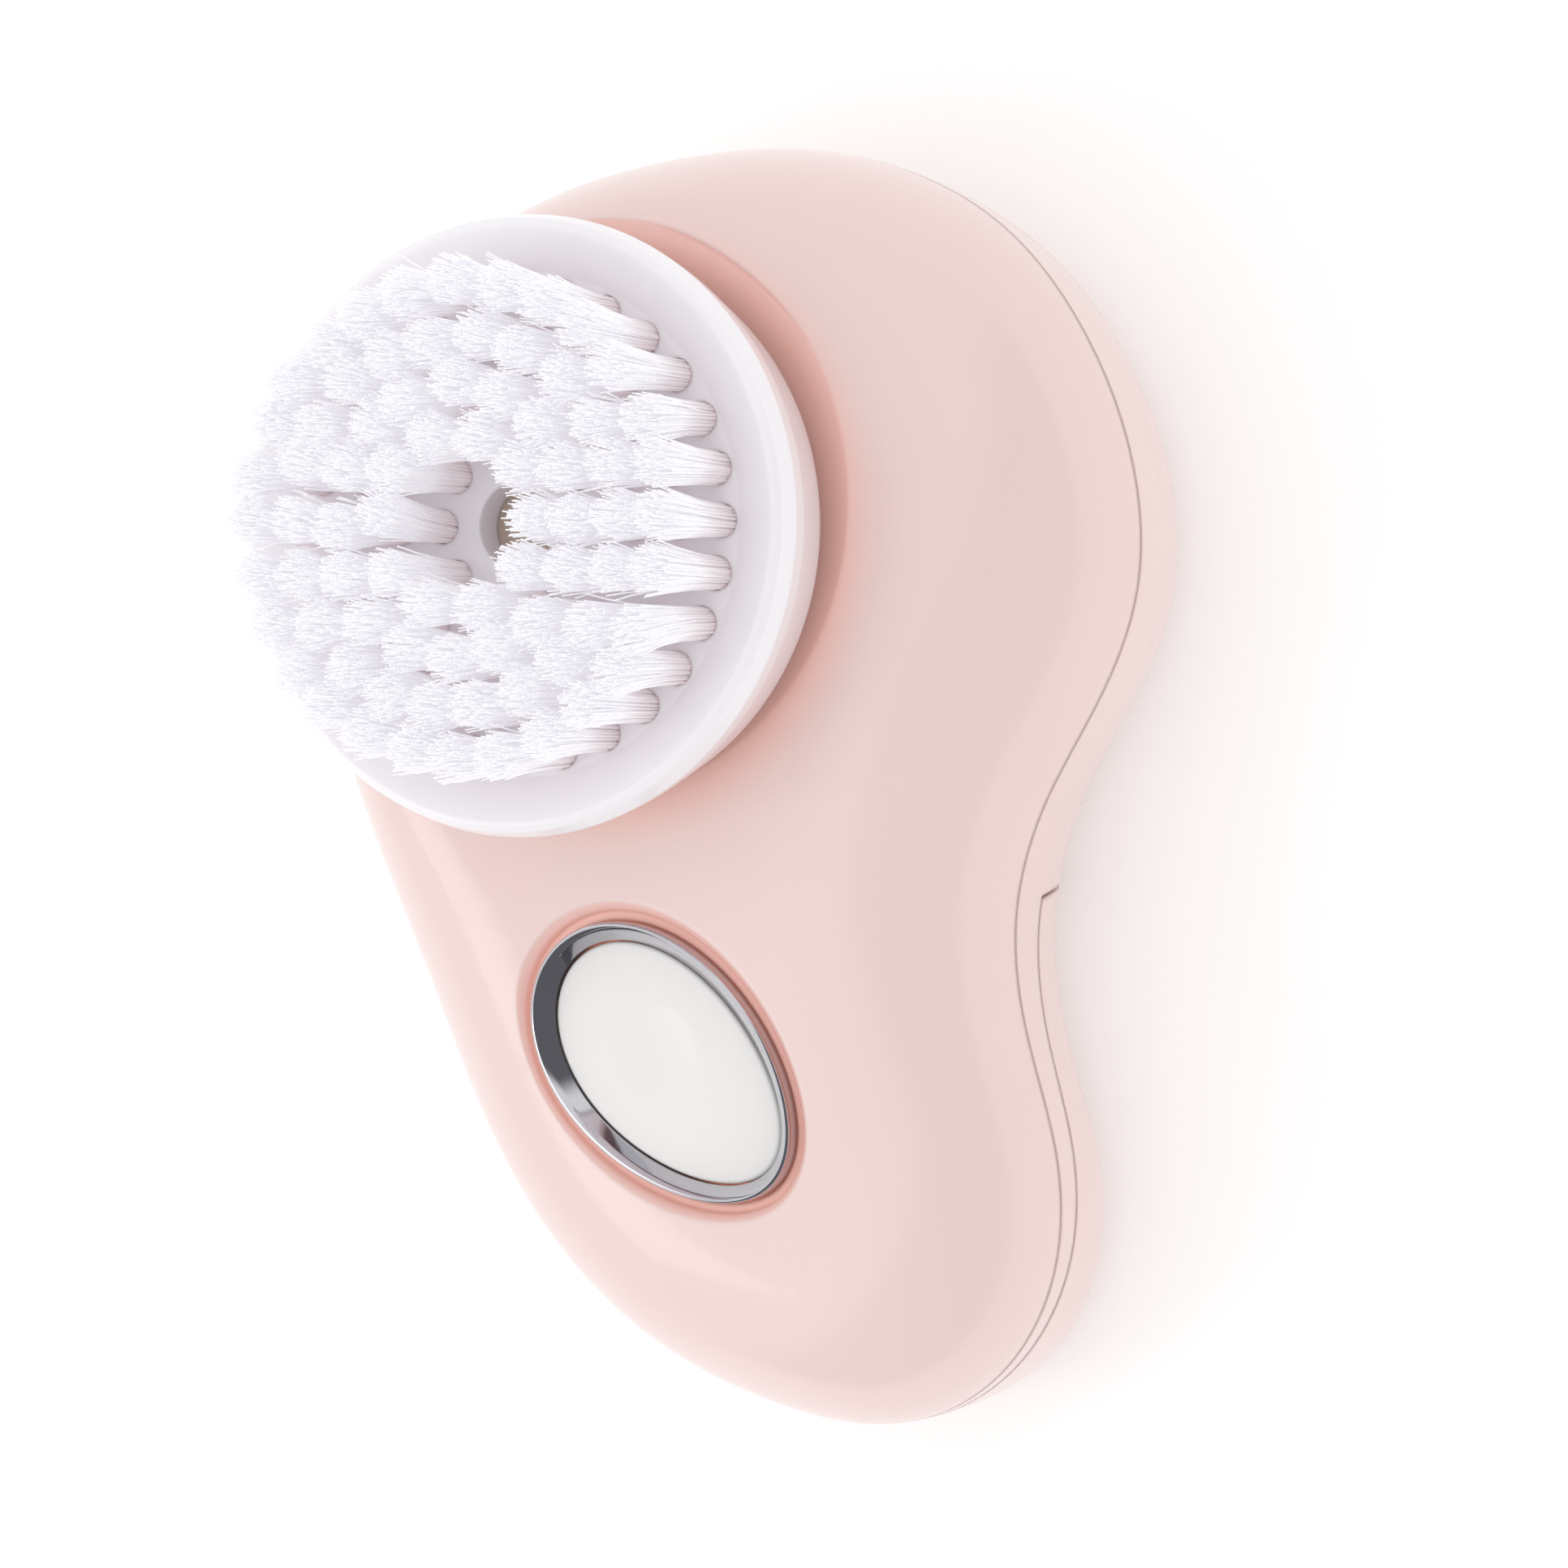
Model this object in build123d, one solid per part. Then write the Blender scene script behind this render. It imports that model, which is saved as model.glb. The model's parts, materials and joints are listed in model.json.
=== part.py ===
from build123d import *
import os
from math import acos, atan2, cos, degrees, hypot, pi, radians, sin, sqrt, tan

# Facial cleansing brush lying on its back. Millimetres. +Z is the brush's spin axis, +Y points from the
# handle to the head, and the origin is on the spin axis, in the plane that the back rests on.

past = 1.0               # cutting tools reach this far past what they cut
reach = 100.0            # half size of cutting blocks, larger than the housing

# ------------------------------------------------------------------ housing
seam_z = 16.0            # parting plane between the front and the rear shell
face_z = 30.4            # front face above the rest plane, on the spin axis
face_slope = 0.042       # the front face drops this much per millimetre towards the handle's end
wall = 2.2               # shell wall
seam_gap = 0.3           # shadow gap between the two shells
gasket_setback = 0.9     # the gaskets start this far behind the outer surface
gasket_inner = 2.1       # and end this far behind it
fit_gap = 0.15           # between housing pieces that slip together

# The seam line seen from the front, clockwise from the crown: x, y, width of the rounded front shoulder
# and the share of the rear rounding that the side takes there.
seam_outline = [
    (7.0, 31.6, 9.0, 1.0), (20.0, 30.2, 12.0, 1.0), (31.0, 24.5, 14.5, 1.0), (38.4, 15.4, 16.0, 1.0),
    (42.5, 5.0, 16.0, 1.0), (42.9, -5.0, 16.0, 1.0), (39.3, -14.2, 15.5, 1.0), (34.6, -22.3, 14.5, 1.0),
    (32.0, -31.5, 14.0, 0.95), (33.0, -41.0, 14.0, 0.9), (35.6, -50.5, 14.0, 0.8),
    (35.5, -59.8, 13.5, 0.7), (31.0, -68.0, 13.0, 0.6), (22.0, -72.6, 13.0, 0.55),
    (11.0, -71.4, 13.0, 0.6), (0.7, -67.1, 13.5, 0.7), (-8.8, -59.3, 14.0, 0.8),
    (-15.9, -48.6, 14.0, 0.9), (-21.1, -36.8, 13.5, 1.0), (-26.0, -24.6, 10.5, 1.0),
    (-29.2, -11.5, 7.0, 1.0), (-29.3, 1.5, 5.5, 1.0), (-25.3, 13.8, 5.5, 1.0), (-16.9, 23.4, 6.0, 1.0),
    (-5.9, 29.2, 7.0, 1.0),
]
shoulder_angles = (0, 14, 28, 42, 56, 70, 82, 90)
# How the back rounds off: share of the depth below the seam, inset of the side.
rear_profile = [
    (0.0, 0.0), (0.25, 0.4), (0.5, 1.1), (0.69, 2.0), (0.84, 3.4), (0.94, 5.6), (1.0, 9.5),
]

# ------------------------------------------------------------------ dish round the brush
dish_lip_r = 25.6
dish_lip_z = 31.0        # height at which the bowl reaches its lip radius
dish_depth = 5.2
dish_top_z = 45.0        # the cutting bowl reaches above everything
collar_r = 6.0           # boss round the spindle
collar_top_z = 27.4

# ------------------------------------------------------------------ button in the handle
button_x, button_y = 6.2, -43.5
button_turn = -42.0      # long axis, degrees from +X
egg_a, egg_b = 13.8, 9.0 # half length and half width of the bezel's outline
egg_skew = 0.10          # how much narrower one end is
egg_points = 16
pocket_margin = 0.9      # moat round the bezel
pocket_depth = 1.2
pocket_round = 0.7
bezel_seat_depth = 2.6
bezel_proud = 0.35
bezel_band = 1.5         # width of the ring
bezel_lip = 0.45         # rim at the top of the ring
bezel_edge_r = 0.35
bezel_funnel_depth = 1.1
button_gap = 0.15
button_top = -0.75       # crown of the button below the face
button_crown_r = 130.0
button_travel = 0.6
button_dimple_r = 4.0
button_dimple_depth = 0.3
button_dimple_shift = -1.6
boss_margin = 2.6
boss_depth = 4.5
button_flange = 0.95
button_flange_depth = 0.8
flange_gap = 0.1         # between the flange and what it meets above and below
button_skin = 1.6
post_r = 1.8             # post from the button's skin down to the switch
seal_thickness = 1.0
seal_width = 2.1
holder_wall = 1.2

# ------------------------------------------------------------------ electronics, in the button's frame
plunger_top = -6.2
plunger_r = 1.6
plunger_length = 1.4
plunger_gap = 0.08
switch_size = 6.0
switch_height = 3.5
board_length, board_width, board_thickness = 26.0, 21.0, 1.0
board_corner_r = 2.0
board_hole_x, board_hole_y = 10.5, 8.2
board_post_r = 2.0
small_pilot_r = 0.8
small_head_r, small_head_height = 1.5, 1.0
small_screw_bite = 3.6   # how far the small screws reach above the board
small_slot_r, small_slot_depth = 0.6, 0.5
switch_overtravel = 0.8
chip_spot = (-6.3, -3.2)
chip_length, chip_width, chip_low, chip_high = 4.0, 3.2, 0.15, 1.4
leg_count, leg_pitch, leg_width, leg_height, leg_span = 4, 1.1, 0.4, 0.35, 4.8
lamp_spot = (5.5, 4.5)
lamp_size, lamp_height = 1.8, 0.7
passive_spots = [
    (-8.5, 4.0), (-8.5, 2.0), (-8.5, 0.0), (-1.0, 6.0), (2.0, -5.2), (5.4, -4.0), (8.0, 0.0), (0.0, -9.2),
]
passive_length, passive_width, passive_height = 1.6, 0.8, 0.5
wire_r = 0.55
wire_pitch = 1.6         # between the two wires of the motor
wire_hole_r = 1.6
bend_share = 0.45        # share of the shorter run that a bend takes
wire_start_depth = 0.6   # a cell's wire starts this far below the bay's roof
wire_arch = 1.6          # and passes this far above it
wire_near = (-1.0, 4.0, -0.4)            # its last bend, from the joint on the board
wire_joint_gap = 0.1
board_wire_spots = [(-11.5, 1.0), (-5.5, 9.2)]
motor_wire_route = [(19.0, -5.6, 4.5), (19.6, -11.0, 6.5), (20.2, -17.0, 11.0), (18.6, -23.5, 15.2),
                    (15.0, -29.5, 16.2), (12.0, -35.0, 16.35)]

# ------------------------------------------------------------------ cells and battery bay
cell_r, cell_length = 5.25, 44.5
nub_r, nub_length = 1.9, 0.8
cell_edge_r = 0.5
cell_pitch = 11.2
bay_x, bay_y = 8.4, -38.6
bay_turn = 25.0          # cells lean this far from -Y towards +X
bay_floor_gap = 0.55
bay_side_gap = 0.5
bay_end_room = 3.6       # contact springs at each end
bay_wall = 1.4
roof_thickness = 1.2
roof_gap = 0.55
bay_skirt_gap = 1.0      # the bay's walls end this far above the cover
contact_thickness = 0.4
contact_width = 6.0
spring_wire_r = 0.35
spring_r = 2.6
spring_turns = 3

# ------------------------------------------------------------------ battery cover
cover_edge_top = (-30.0, 10.3)   # y, z where the cover's edge starts at the waist
cover_edge_low = (-60.0, 13.0)
cover_edge_back_y = -28.0
cover_gap = 0.3
cover_travel = 25.0
tongue_width, tongue_reach, tongue_thickness = 2.8, 4.0, 1.1
tongue_z = 3.1
tongue_root = 5.0        # how far a tongue's foot stands on the cover
tongue_xs = (18.3, -15.5)

# ------------------------------------------------------------------ gear train
gear_module = 0.5
motor_teeth, wheel_teeth, pinion_teeth, output_teeth = 10, 40, 12, 48
pressure_angle = 20.0
backlash = 0.10
addendum_factor = 0.85
dedendum_factor = 1.2
axle_clearance = 0.06
axle_r = 1.0
bush_clearance = 0.05
glue_gap = 0.02          # radial gap of parts that turn together

gearbase_z = 15.4
gearbase_thickness = 1.2
gear_space = 0.3
wheel_width = 1.8
output_width = 2.2
level_gap = 0.4
lid_thickness = 1.0
lid_gap = 0.5
output_hub_r = 4.2
web_hole_count, web_hole_ring_r, web_hole_r = 6, 8.0, 1.5
base_spindle_r, base_idler_r, base_motor_r = 13.0, 10.0, 9.0      # lobes of the gearbox base
lid_spindle_r, lid_idler_r = 6.0, 4.0                              # lobes of the gearbox lid
axle_seat = 0.2          # the idler's pin ends this far from the outer faces

motor_x, motor_y = 15.0, 8.0
motor_r = 12.2
motor_height = 12.4
can_wall = 0.8
can_edge_r = 0.6
collar_motor_r = 3.0
motor_shaft_r = 1.0
end_cap_height = 2.4
motor_floor = 0.8        # of the end cap below the shaft's bore
shaft_end_gap = 0.2
motor_screw_reach = 6.5
motor_screw_turn = 118.0
motor_screw_r = 0.8
motor_screw_flare = 0.8
terminal_width, terminal_thickness = 1.0, 0.4
terminal_length_in, terminal_length_out = 2.4, 1.0
terminal_gap = 0.05
magnet_thickness, magnet_gap, magnet_fit = 1.7, 5.0, 0.05
magnet_low, magnet_high_room = 3.4, 1.2
rotor_reach, rotor_shoe_r, rotor_core_r, commutator_r = 8.8, 7.2, 3.2, 2.2
pole_count, rotor_pole, rotor_shoe, pole_root = 3, 2.2, 10.8, 0.2
rotor_low, rotor_high_room = 3.8, 1.6
coil_inner, coil_outer, coil_width, coil_proud, coil_gap = 3.6, 6.5, 5.2, 0.2, 0.05

spindle_r = 2.0
spindle_bottom_z = 13.6
spindle_top_z = 37.6
spindle_flat = 0.5
spindle_flat_z = 29.0
spindle_chamfer = 0.3
spindle_top_gap = 0.2
washer_r = 4.0
seal_groove_in, seal_groove_out, seal_groove_depth = 0.7, 1.4, 0.4
bush_wall = 2.0
base_bush_wall = 1.2
spindle_end_gap = 0.1    # below the spindle's lower end
bush_floor = 0.9         # the base's cup reaches this far below the spindle
base_margin = 0.6        # of the gearbox base round its posts
seal_height = 1.2

gearbox_posts = [(-14.6, -6.0), (27.6, -2.4), (-3.5, 16.0)]
gearbox_post_r = 2.2
gearbox_screw_r = 0.95
gearbox_head_r, gearbox_head_height = 1.9, 1.4
gearbox_screw_top_z = 26.0

# ------------------------------------------------------------------ housing screws
screw_spots = [(32.5, 6.5), (-22.0, 4.0), (3.0, 24.5), (28.5, -17.0), (-19.5, -19.0)]
screw_post_r = 3.4
screw_post_top_z = 29.0
gearbox_post_top_z = 28.0
screw_end_room = 0.3     # holes end this far past the tips of the screws
screw_head_r, screw_head_height = 2.2, 1.6
screw_shank_r = 1.1
screw_recess = 3.0
screw_top_z = 24.5
cross_reach = 0.6        # share of the head's radius and height that its cross takes
cross_width = 0.5
screw_gap = 0.1
plug_gap = 0.1           # the soft plugs end this far from the walls and the heads of the screws

# ------------------------------------------------------------------ brush head
rim_r = 25.0
rim_z = 40.6
crest_r, crest_z = 24.0, 42.8
crest_in, crest_drop_in = 0.9, 0.35      # the crest's inner slope
crest_out, crest_drop_out = 0.6, 0.5     # and its outer slope
disc_edge_r = 0.35
floor_z = 41.3
floor_r = 20.3
kink_r, kink_z = 24.5, 38.4
skirt_r, skirt_z = 22.6, 32.1
skirt_wall = 1.8
floor_thickness = 2.7
hub_hole_r = 3.5
socket_r = 4.15
hub_wall = 1.9
hub_bottom_z = 29.4
socket_gap = 0.06
socket_shelf = 0.2       # height of the rim that the socket stops at
socket_end_gap = 0.02
rib_count = 8
rib_thickness = 1.2
rib_depth = 3.4
rib_bite = 0.3           # how far the ribs reach into what they join
tuft_rings = [("outer", 18.65, 28), ("third", 14.75, 22), ("second", 10.8, 16), ("inner", 6.9, 10)]
tuft_base_r, tuft_tip_r = 1.35, 1.85
tuft_seat = 2.0
tuft_floor_gap = 0.1
tip_z = 53.3


# ------------------------------------------------------------------ helpers
def post(x, y, low, high, radius):
    """An upright cylinder between two heights."""
    return Pos(x, y, (low + high) / 2) * Cylinder(radius, high - low)


def block(x0, y0, z0, x1, y1, z1):
    """A box between two corners."""
    return Pos((x0 + x1) / 2, (y0 + y1) / 2, (z0 + z1) / 2) * Box(x1 - x0, y1 - y0, z1 - z0)


def sleeve(x, y, low, high, outer, inner):
    """An upright ring between two heights."""
    return post(x, y, low, high, outer) - post(x, y, low - past, high + past, inner)


def turned(outline):
    """A solid of revolution about the spin axis from (radius, height) points."""
    return revolve(Plane.XZ * make_face(Polyline(*outline, close=True)), Axis.Z)


def plate(spots, low, high):
    """A flat plate round (x, y, radius) spots, joined by their outer tangents."""
    rings = [Pos(x, y) * Circle(r) for x, y, r in spots]
    outline = make_hull([edge for ring in rings for edge in ring.edges()])
    return extrude(Pos(0, 0, low) * outline, high - low)


# ------------------------------------------------------------------ housing surfaces
def inward_normals():
    """Unit vectors pointing into the body at each point of the seam outline."""
    result = []
    count = len(seam_outline)
    for index in range(count):
        before = seam_outline[index - 1]
        after = seam_outline[(index + 1) % count]
        run = hypot(after[0] - before[0], after[1] - before[1])
        result.append(((after[1] - before[1]) / run, -(after[0] - before[0]) / run))
    return result


def outline_knots():
    """Curve parameters from the distance along the seam outline, from 0 to 1."""
    lengths = [0.0]
    for index, here in enumerate(seam_outline):
        after = seam_outline[(index + 1) % len(seam_outline)]
        lengths.append(lengths[-1] + hypot(after[0] - here[0], after[1] - here[1]))
    return [length / lengths[-1] for length in lengths]


normals = inward_normals()
knots = outline_knots()


def ring_wire(points):
    """A closed smooth curve through one point per outline point."""
    spline = Edge.make_spline([Vector(*p) for p in points], periodic=True, parameters=knots)
    return Wire([spline])


def face_height(y):
    """Height of the flat middle of the front face."""
    return face_z + face_slope * y


def front_form(inset):
    """The front half as a solid, moved inwards by inset."""
    wires = []
    for angle in shoulder_angles:
        across = 1 - cos(radians(angle))
        up = sin(radians(angle))
        points = []
        for (x, y, width, _), (nx, ny) in zip(seam_outline, normals):
            step = inset + (width - inset) * across
            px = x + nx * step
            py = y + ny * step
            points.append((px, py, seam_z + (face_height(py) - inset - seam_z) * up))
        wires.append(ring_wire(points))
    return Solid.make_loft(wires)


def rear_form(inset):
    """The rear half as a solid, moved inwards by inset."""
    wires = []
    for depth, side in rear_profile:
        points = []
        for (x, y, _, share), (nx, ny) in zip(seam_outline, normals):
            step = inset + side * (share + (1 - share) * depth**4)
            points.append((x + nx * step, y + ny * step, seam_z - depth * (seam_z - inset)))
        wires.append(ring_wire(points))
    return Solid.make_loft(wires)


def seam_slab(inset, low, high):
    """An upright slab of the seam outline, moved inwards by inset."""
    points = [(x + nx * inset, y + ny * inset, low)
              for (x, y, _, _), (nx, ny) in zip(seam_outline, normals)]
    return extrude(Face(ring_wire(points)), high - low, dir=(0, 0, 1))


def bowl(extra):
    """The space of the dish round the brush, grown by extra."""
    radius = (dish_lip_r**2 + dish_depth**2) / (2 * dish_depth)
    centre_z = dish_lip_z - dish_depth + radius
    grown = radius + extra
    lip = dish_lip_r + extra
    middle = lip / 2
    bottom = (0, centre_z - grown)
    halfway = (middle, centre_z - sqrt(grown**2 - middle**2))
    edge = (lip, centre_z - sqrt(grown**2 - lip**2))
    profile = make_face([
        Line((0, dish_top_z), bottom),
        ThreePointArc(bottom, halfway, edge),
        Line(edge, (lip, dish_top_z)),
        Line((lip, dish_top_z), (0, dish_top_z)),
    ])
    return revolve(Plane.XZ * profile, Axis.Z)


# ------------------------------------------------------------------ frames
button_frame = Plane(
    origin=(button_x, button_y, face_height(button_y)),
    x_dir=(cos(radians(button_turn)), sin(radians(button_turn)), face_slope * sin(radians(button_turn))),
    z_dir=(0, -face_slope, 1),
)
bay_along = (sin(radians(bay_turn)), -cos(radians(bay_turn)))
bay_across = (cos(radians(bay_turn)), sin(radians(bay_turn)))
cell_z = wall + bay_floor_gap + cell_r
roof_z = cell_z + cell_r + roof_gap
bay_frame = Plane(origin=(bay_x, bay_y, 0), x_dir=(*bay_across, 0), z_dir=(0, 0, 1))
bay_half_width = cell_pitch / 2 + cell_r + bay_side_gap
bay_half_length = cell_length / 2 + bay_end_room


def egg(grow):
    """The button's egg-shaped outline, grown by grow, as a face in the button's frame."""
    points = []
    for index in range(egg_points):
        turn = 2 * pi * index / egg_points
        x = (egg_a + grow) * cos(turn)
        y = (egg_b + grow) * sin(turn) * (1 - egg_skew * cos(turn))
        points.append((x, y))
    return make_face(Spline(*points, periodic=True))


def egg_slab(grow, low, high):
    """A slab of the egg outline between two heights of the button's frame."""
    return extrude(Pos(0, 0, low) * egg(grow), high - low)


# ------------------------------------------------------------------ cover zone
def cover_zone(extra):
    """The part of the rear half that the battery cover takes, grown by extra."""
    slope = (cover_edge_low[1] - cover_edge_top[1]) / (cover_edge_low[0] - cover_edge_top[0])
    far_z = cover_edge_top[1] + slope * (-reach - cover_edge_top[0])
    outline = [
        (cover_edge_back_y + extra, -past),
        (cover_edge_top[0] + extra, cover_edge_top[1] + extra),
        (-reach, far_z + extra),
        (-reach, -past),
    ]
    profile = Plane.YZ * make_face(Polyline(*outline, close=True))
    return extrude(profile, reach, both=True)


# ------------------------------------------------------------------ shells
def front_shell():
    """Front shell with the dish, the button's pocket and the posts inside."""
    above_seam = block(-reach, -reach, seam_z + seam_gap / 2, reach, reach, reach)
    outer = (front_form(0) - bowl(0)) & above_seam
    inside = front_form(wall) - bowl(wall)
    shell = outer - inside
    boss = button_frame * egg_slab(boss_margin, -boss_depth, 0)
    for x in (-board_hole_x, board_hole_x):
        for y in (-board_hole_y, board_hole_y):
            boss += button_frame * post(x, y, board_top_z, -boss_depth, board_post_r)
    shell += boss & outer
    for x, y in screw_spots:
        shell += post(x, y, seam_z + seam_gap / 2, screw_post_top_z, screw_post_r) & outer
    for x, y in gearbox_posts:
        shell += post(x, y, lid_top_z, gearbox_post_top_z, gearbox_post_r) & outer
    shell += post(0, 0, lid_top_z, collar_top_z, collar_r)
    shell -= post(0, 0, lid_top_z - past, collar_top_z + past, bush_r)
    shell -= button_frame * egg_slab(-bezel_band, -boss_depth - past, past)
    shell -= button_frame * egg_slab(fit_gap, -bezel_seat_depth, past)
    shell -= pocket()
    for x in (-board_hole_x, board_hole_x):
        for y in (-board_hole_y, board_hole_y):
            shell -= button_frame * post(x, y, board_top_z - past, pilot_top_z, small_pilot_r)
    for x, y in screw_spots:
        shell -= post(x, y, seam_z - past, screw_top_z + screw_end_room, screw_shank_r + screw_gap / 2)
    for x, y in gearbox_posts:
        hole_top = gearbox_screw_top_z + screw_end_room
        shell -= post(x, y, lid_top_z - past, hole_top, gearbox_screw_r + screw_gap / 2)
    return shell


def pocket():
    """The moat round the bezel, widening towards the face."""
    low = button_frame * (Pos(0, 0, -pocket_depth) * egg(pocket_margin))
    middle = button_frame * (Pos(0, 0, -pocket_round) * egg(pocket_margin))
    high = button_frame * (Pos(0, 0, pocket_round) * egg(pocket_margin + 2 * pocket_round))
    return loft([low, middle], ruled=True) + loft([middle, high], ruled=True)


def rear_walls():
    """The rear half as a bare shell below the seam gap."""
    shell = rear_form(0) - rear_form(wall)
    return shell & below_seam()


def below_seam():
    """Everything below the seam gap."""
    return block(-reach, -reach, -past, reach, reach, seam_z - seam_gap / 2)


def bay_block(grow, low, high):
    """A box round the cells, grown sideways, between two heights."""
    half_width = bay_half_width + grow
    half_length = bay_half_length + grow
    return bay_frame * block(-half_width, -half_length, low, half_width, half_length, high)


def rear_shell():
    """Rear shell with the battery bay and the screw posts."""
    walls = rear_walls()
    inside = rear_form(wall / 2) & below_seam()
    roof_edge = bay_block(bay_wall, roof_z, roof_z + roof_thickness)
    lower_handle = block(-reach, -reach, roof_z, reach, cover_edge_back_y, roof_z + roof_thickness)
    shell = walls + ((roof_edge + lower_handle) & inside)
    shell += bay_block(bay_wall, wall / 2, roof_z) & inside
    shell -= bay_block(0, wall, roof_z)
    for x, y in screw_spots:
        shell += post(x, y, 0, seam_z - seam_gap / 2, screw_post_r) & (inside + walls)
    shell -= cover_zone(cover_gap)
    hanging = bay_block(bay_wall, tongue_z + tongue_thickness, roof_z) - bay_block(0, 0, roof_z)
    hanging &= cover_zone(cover_gap) & rear_form(wall + bay_skirt_gap)
    shell += hanging
    for x, y in screw_spots:
        shell -= post(x, y, -past, screw_recess + screw_head_height, recess_r)
        shell -= post(x, y, -past, seam_z + past, screw_shank_r + screw_gap)
    for x, y in wire_slots:
        shell -= post(x, y, roof_z - past, roof_z + roof_thickness + past, wire_hole_r)
    return shell


def battery_cover():
    """Cover of the battery bay with two tongues that hook behind the rear shell."""
    cover = rear_walls() & cover_zone(0)
    root_y = cover_edge_back_y - tongue_root
    foot_y = cover_edge_back_y - past
    tip_y = cover_edge_back_y + tongue_reach
    top_z = tongue_z + tongue_thickness
    for x in tongue_xs:
        cover += block(x, root_y, wall / 2, x + tongue_width, foot_y, top_z)
        cover += block(x, root_y, tongue_z, x + tongue_width, tip_y, top_z)
    return cover


def seam_gasket():
    """Flat gasket that fills the gap between the shells."""
    low = seam_z - seam_gap / 2
    high = low + seam_gap
    return seam_slab(gasket_setback, low, high) - seam_slab(gasket_inner, low - past, high + past)


def cover_gasket():
    """Gasket between the rear shell and the battery cover."""
    band = rear_form(gasket_setback) - rear_form(gasket_inner)
    return band & (cover_zone(cover_gap) - cover_zone(0))


# ------------------------------------------------------------------ derived heights
wheel_z = gearbase_z + gearbase_thickness + gear_space
output_z = wheel_z + wheel_width + level_gap
lid_z = output_z + output_width + lid_gap
lid_top_z = lid_z + lid_thickness
board_top_z = plunger_top - switch_overtravel - switch_height
output_r = gear_module * output_teeth / 2
wheel_r = gear_module * wheel_teeth / 2
idler_to_spindle = gear_module * (output_teeth + pinion_teeth) / 2
idler_to_motor = gear_module * (motor_teeth + wheel_teeth) / 2
bush_r = spindle_r + bush_clearance + bush_wall
base_bush_r = spindle_r + bush_clearance + base_bush_wall
base_bush_top_z = gearbase_z + gearbase_thickness
motor_low_z = gearbase_z - motor_height
pilot_top_z = board_top_z + small_screw_bite + screw_end_room
recess_r = screw_head_r + 2 * screw_gap
button_edge = -bezel_band - button_gap
flange_top = -boss_depth - flange_gap
flange_low = flange_top - button_flange_depth
seal_top = flange_low - button_travel - flange_gap


def idler_place():
    """Centre of the idler: in mesh with both the output gear and the motor pinion."""
    span = hypot(motor_x, motor_y)
    along = (idler_to_spindle**2 - idler_to_motor**2 + span**2) / (2 * span)
    aside = sqrt(idler_to_spindle**2 - along**2)
    ux, uy = motor_x / span, motor_y / span
    return ux * along + uy * aside, uy * along - ux * aside


idler_x, idler_y = idler_place()


def bay_point(across, along, z):
    """A point of the battery bay in the row's axes."""
    x = bay_x + bay_across[0] * across + bay_along[0] * along
    y = bay_y + bay_across[1] * across + bay_along[1] * along
    return x, y, z


wire_slots = [bay_point(side, -18, 0)[:2] for side in (-8, 8)]


# ------------------------------------------------------------------ button and electronics
def button_bezel():
    """Plated ring with a funnel towards the button."""
    ring = egg_slab(0, -bezel_seat_depth, bezel_proud)
    ring = fillet(ring.edges().group_by(Axis.Z)[-1], bezel_edge_r)
    ring -= egg_slab(-bezel_band, -bezel_seat_depth - past, past)
    low = Pos(0, 0, -bezel_funnel_depth) * egg(-bezel_band)
    high = Pos(0, 0, bezel_proud) * egg(-bezel_lip)
    ring -= loft([low, high], ruled=True)
    return button_frame * ring


def power_button():
    """Button with a crowned top, a finger dimple, a flange below the shell and a post to the switch."""
    cap = egg_slab(button_edge, flange_low, 0)
    cap &= Pos(0, 0, button_top - button_crown_r) * Sphere(button_crown_r)
    dimple_ball = (button_dimple_r**2 + button_dimple_depth**2) / (2 * button_dimple_depth)
    dimple_z = button_top - button_dimple_depth + dimple_ball
    cap -= Pos(button_dimple_shift, 0, dimple_z) * Sphere(dimple_ball)
    cap += egg_slab(button_edge + button_flange, flange_low, flange_top)
    cap -= egg_slab(button_edge - button_skin, flange_low - past, -bezel_seat_depth)
    cap += post(0, 0, plunger_top, -bezel_seat_depth, post_r)
    return button_frame * cap


def button_seal():
    """Soft ring under the flange that keeps water out and pushes the button back up."""
    low = seal_top - seal_thickness
    outer = button_edge + button_flange - flange_gap
    ring = egg_slab(outer, low, seal_top) - egg_slab(outer - seal_width, low - past, seal_top + past)
    return button_frame * ring


def seal_holder():
    """Frame on the board that carries the soft ring."""
    top = seal_top - seal_thickness
    outer = button_edge + button_flange
    frame = egg_slab(outer, board_top_z, top)
    frame -= egg_slab(outer - holder_wall, board_top_z - past, top + past)
    for x in (-board_hole_x, board_hole_x):
        for y in (-board_hole_y, board_hole_y):
            frame -= post(x, y, board_top_z - past, 0, board_post_r + fit_gap)
    return button_frame * frame


def switch_body():
    """Square push switch with a round well for its plunger."""
    top = board_top_z + switch_height
    half = switch_size / 2
    body = block(-half, -half, board_top_z, half, half, top)
    well_floor = plunger_top - plunger_length - button_travel - 2 * plunger_gap
    body -= post(0, 0, well_floor, top + past, plunger_r + plunger_gap)
    return button_frame * body


def switch_plunger():
    """Plunger of the push switch."""
    return button_frame * post(0, 0, plunger_top - plunger_length, plunger_top, plunger_r)


def circuit_board():
    """Board under the button, held by four screws."""
    board = Pos(0, 0, board_top_z - board_thickness / 2) * Box(board_length, board_width, board_thickness)
    board = fillet(board.edges().filter_by(Axis.Z), board_corner_r)
    for x in (-board_hole_x, board_hole_x):
        for y in (-board_hole_y, board_hole_y):
            low = board_top_z - board_thickness - past
            board -= post(x, y, low, board_top_z + past, small_pilot_r + fit_gap)
    return button_frame * board


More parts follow.
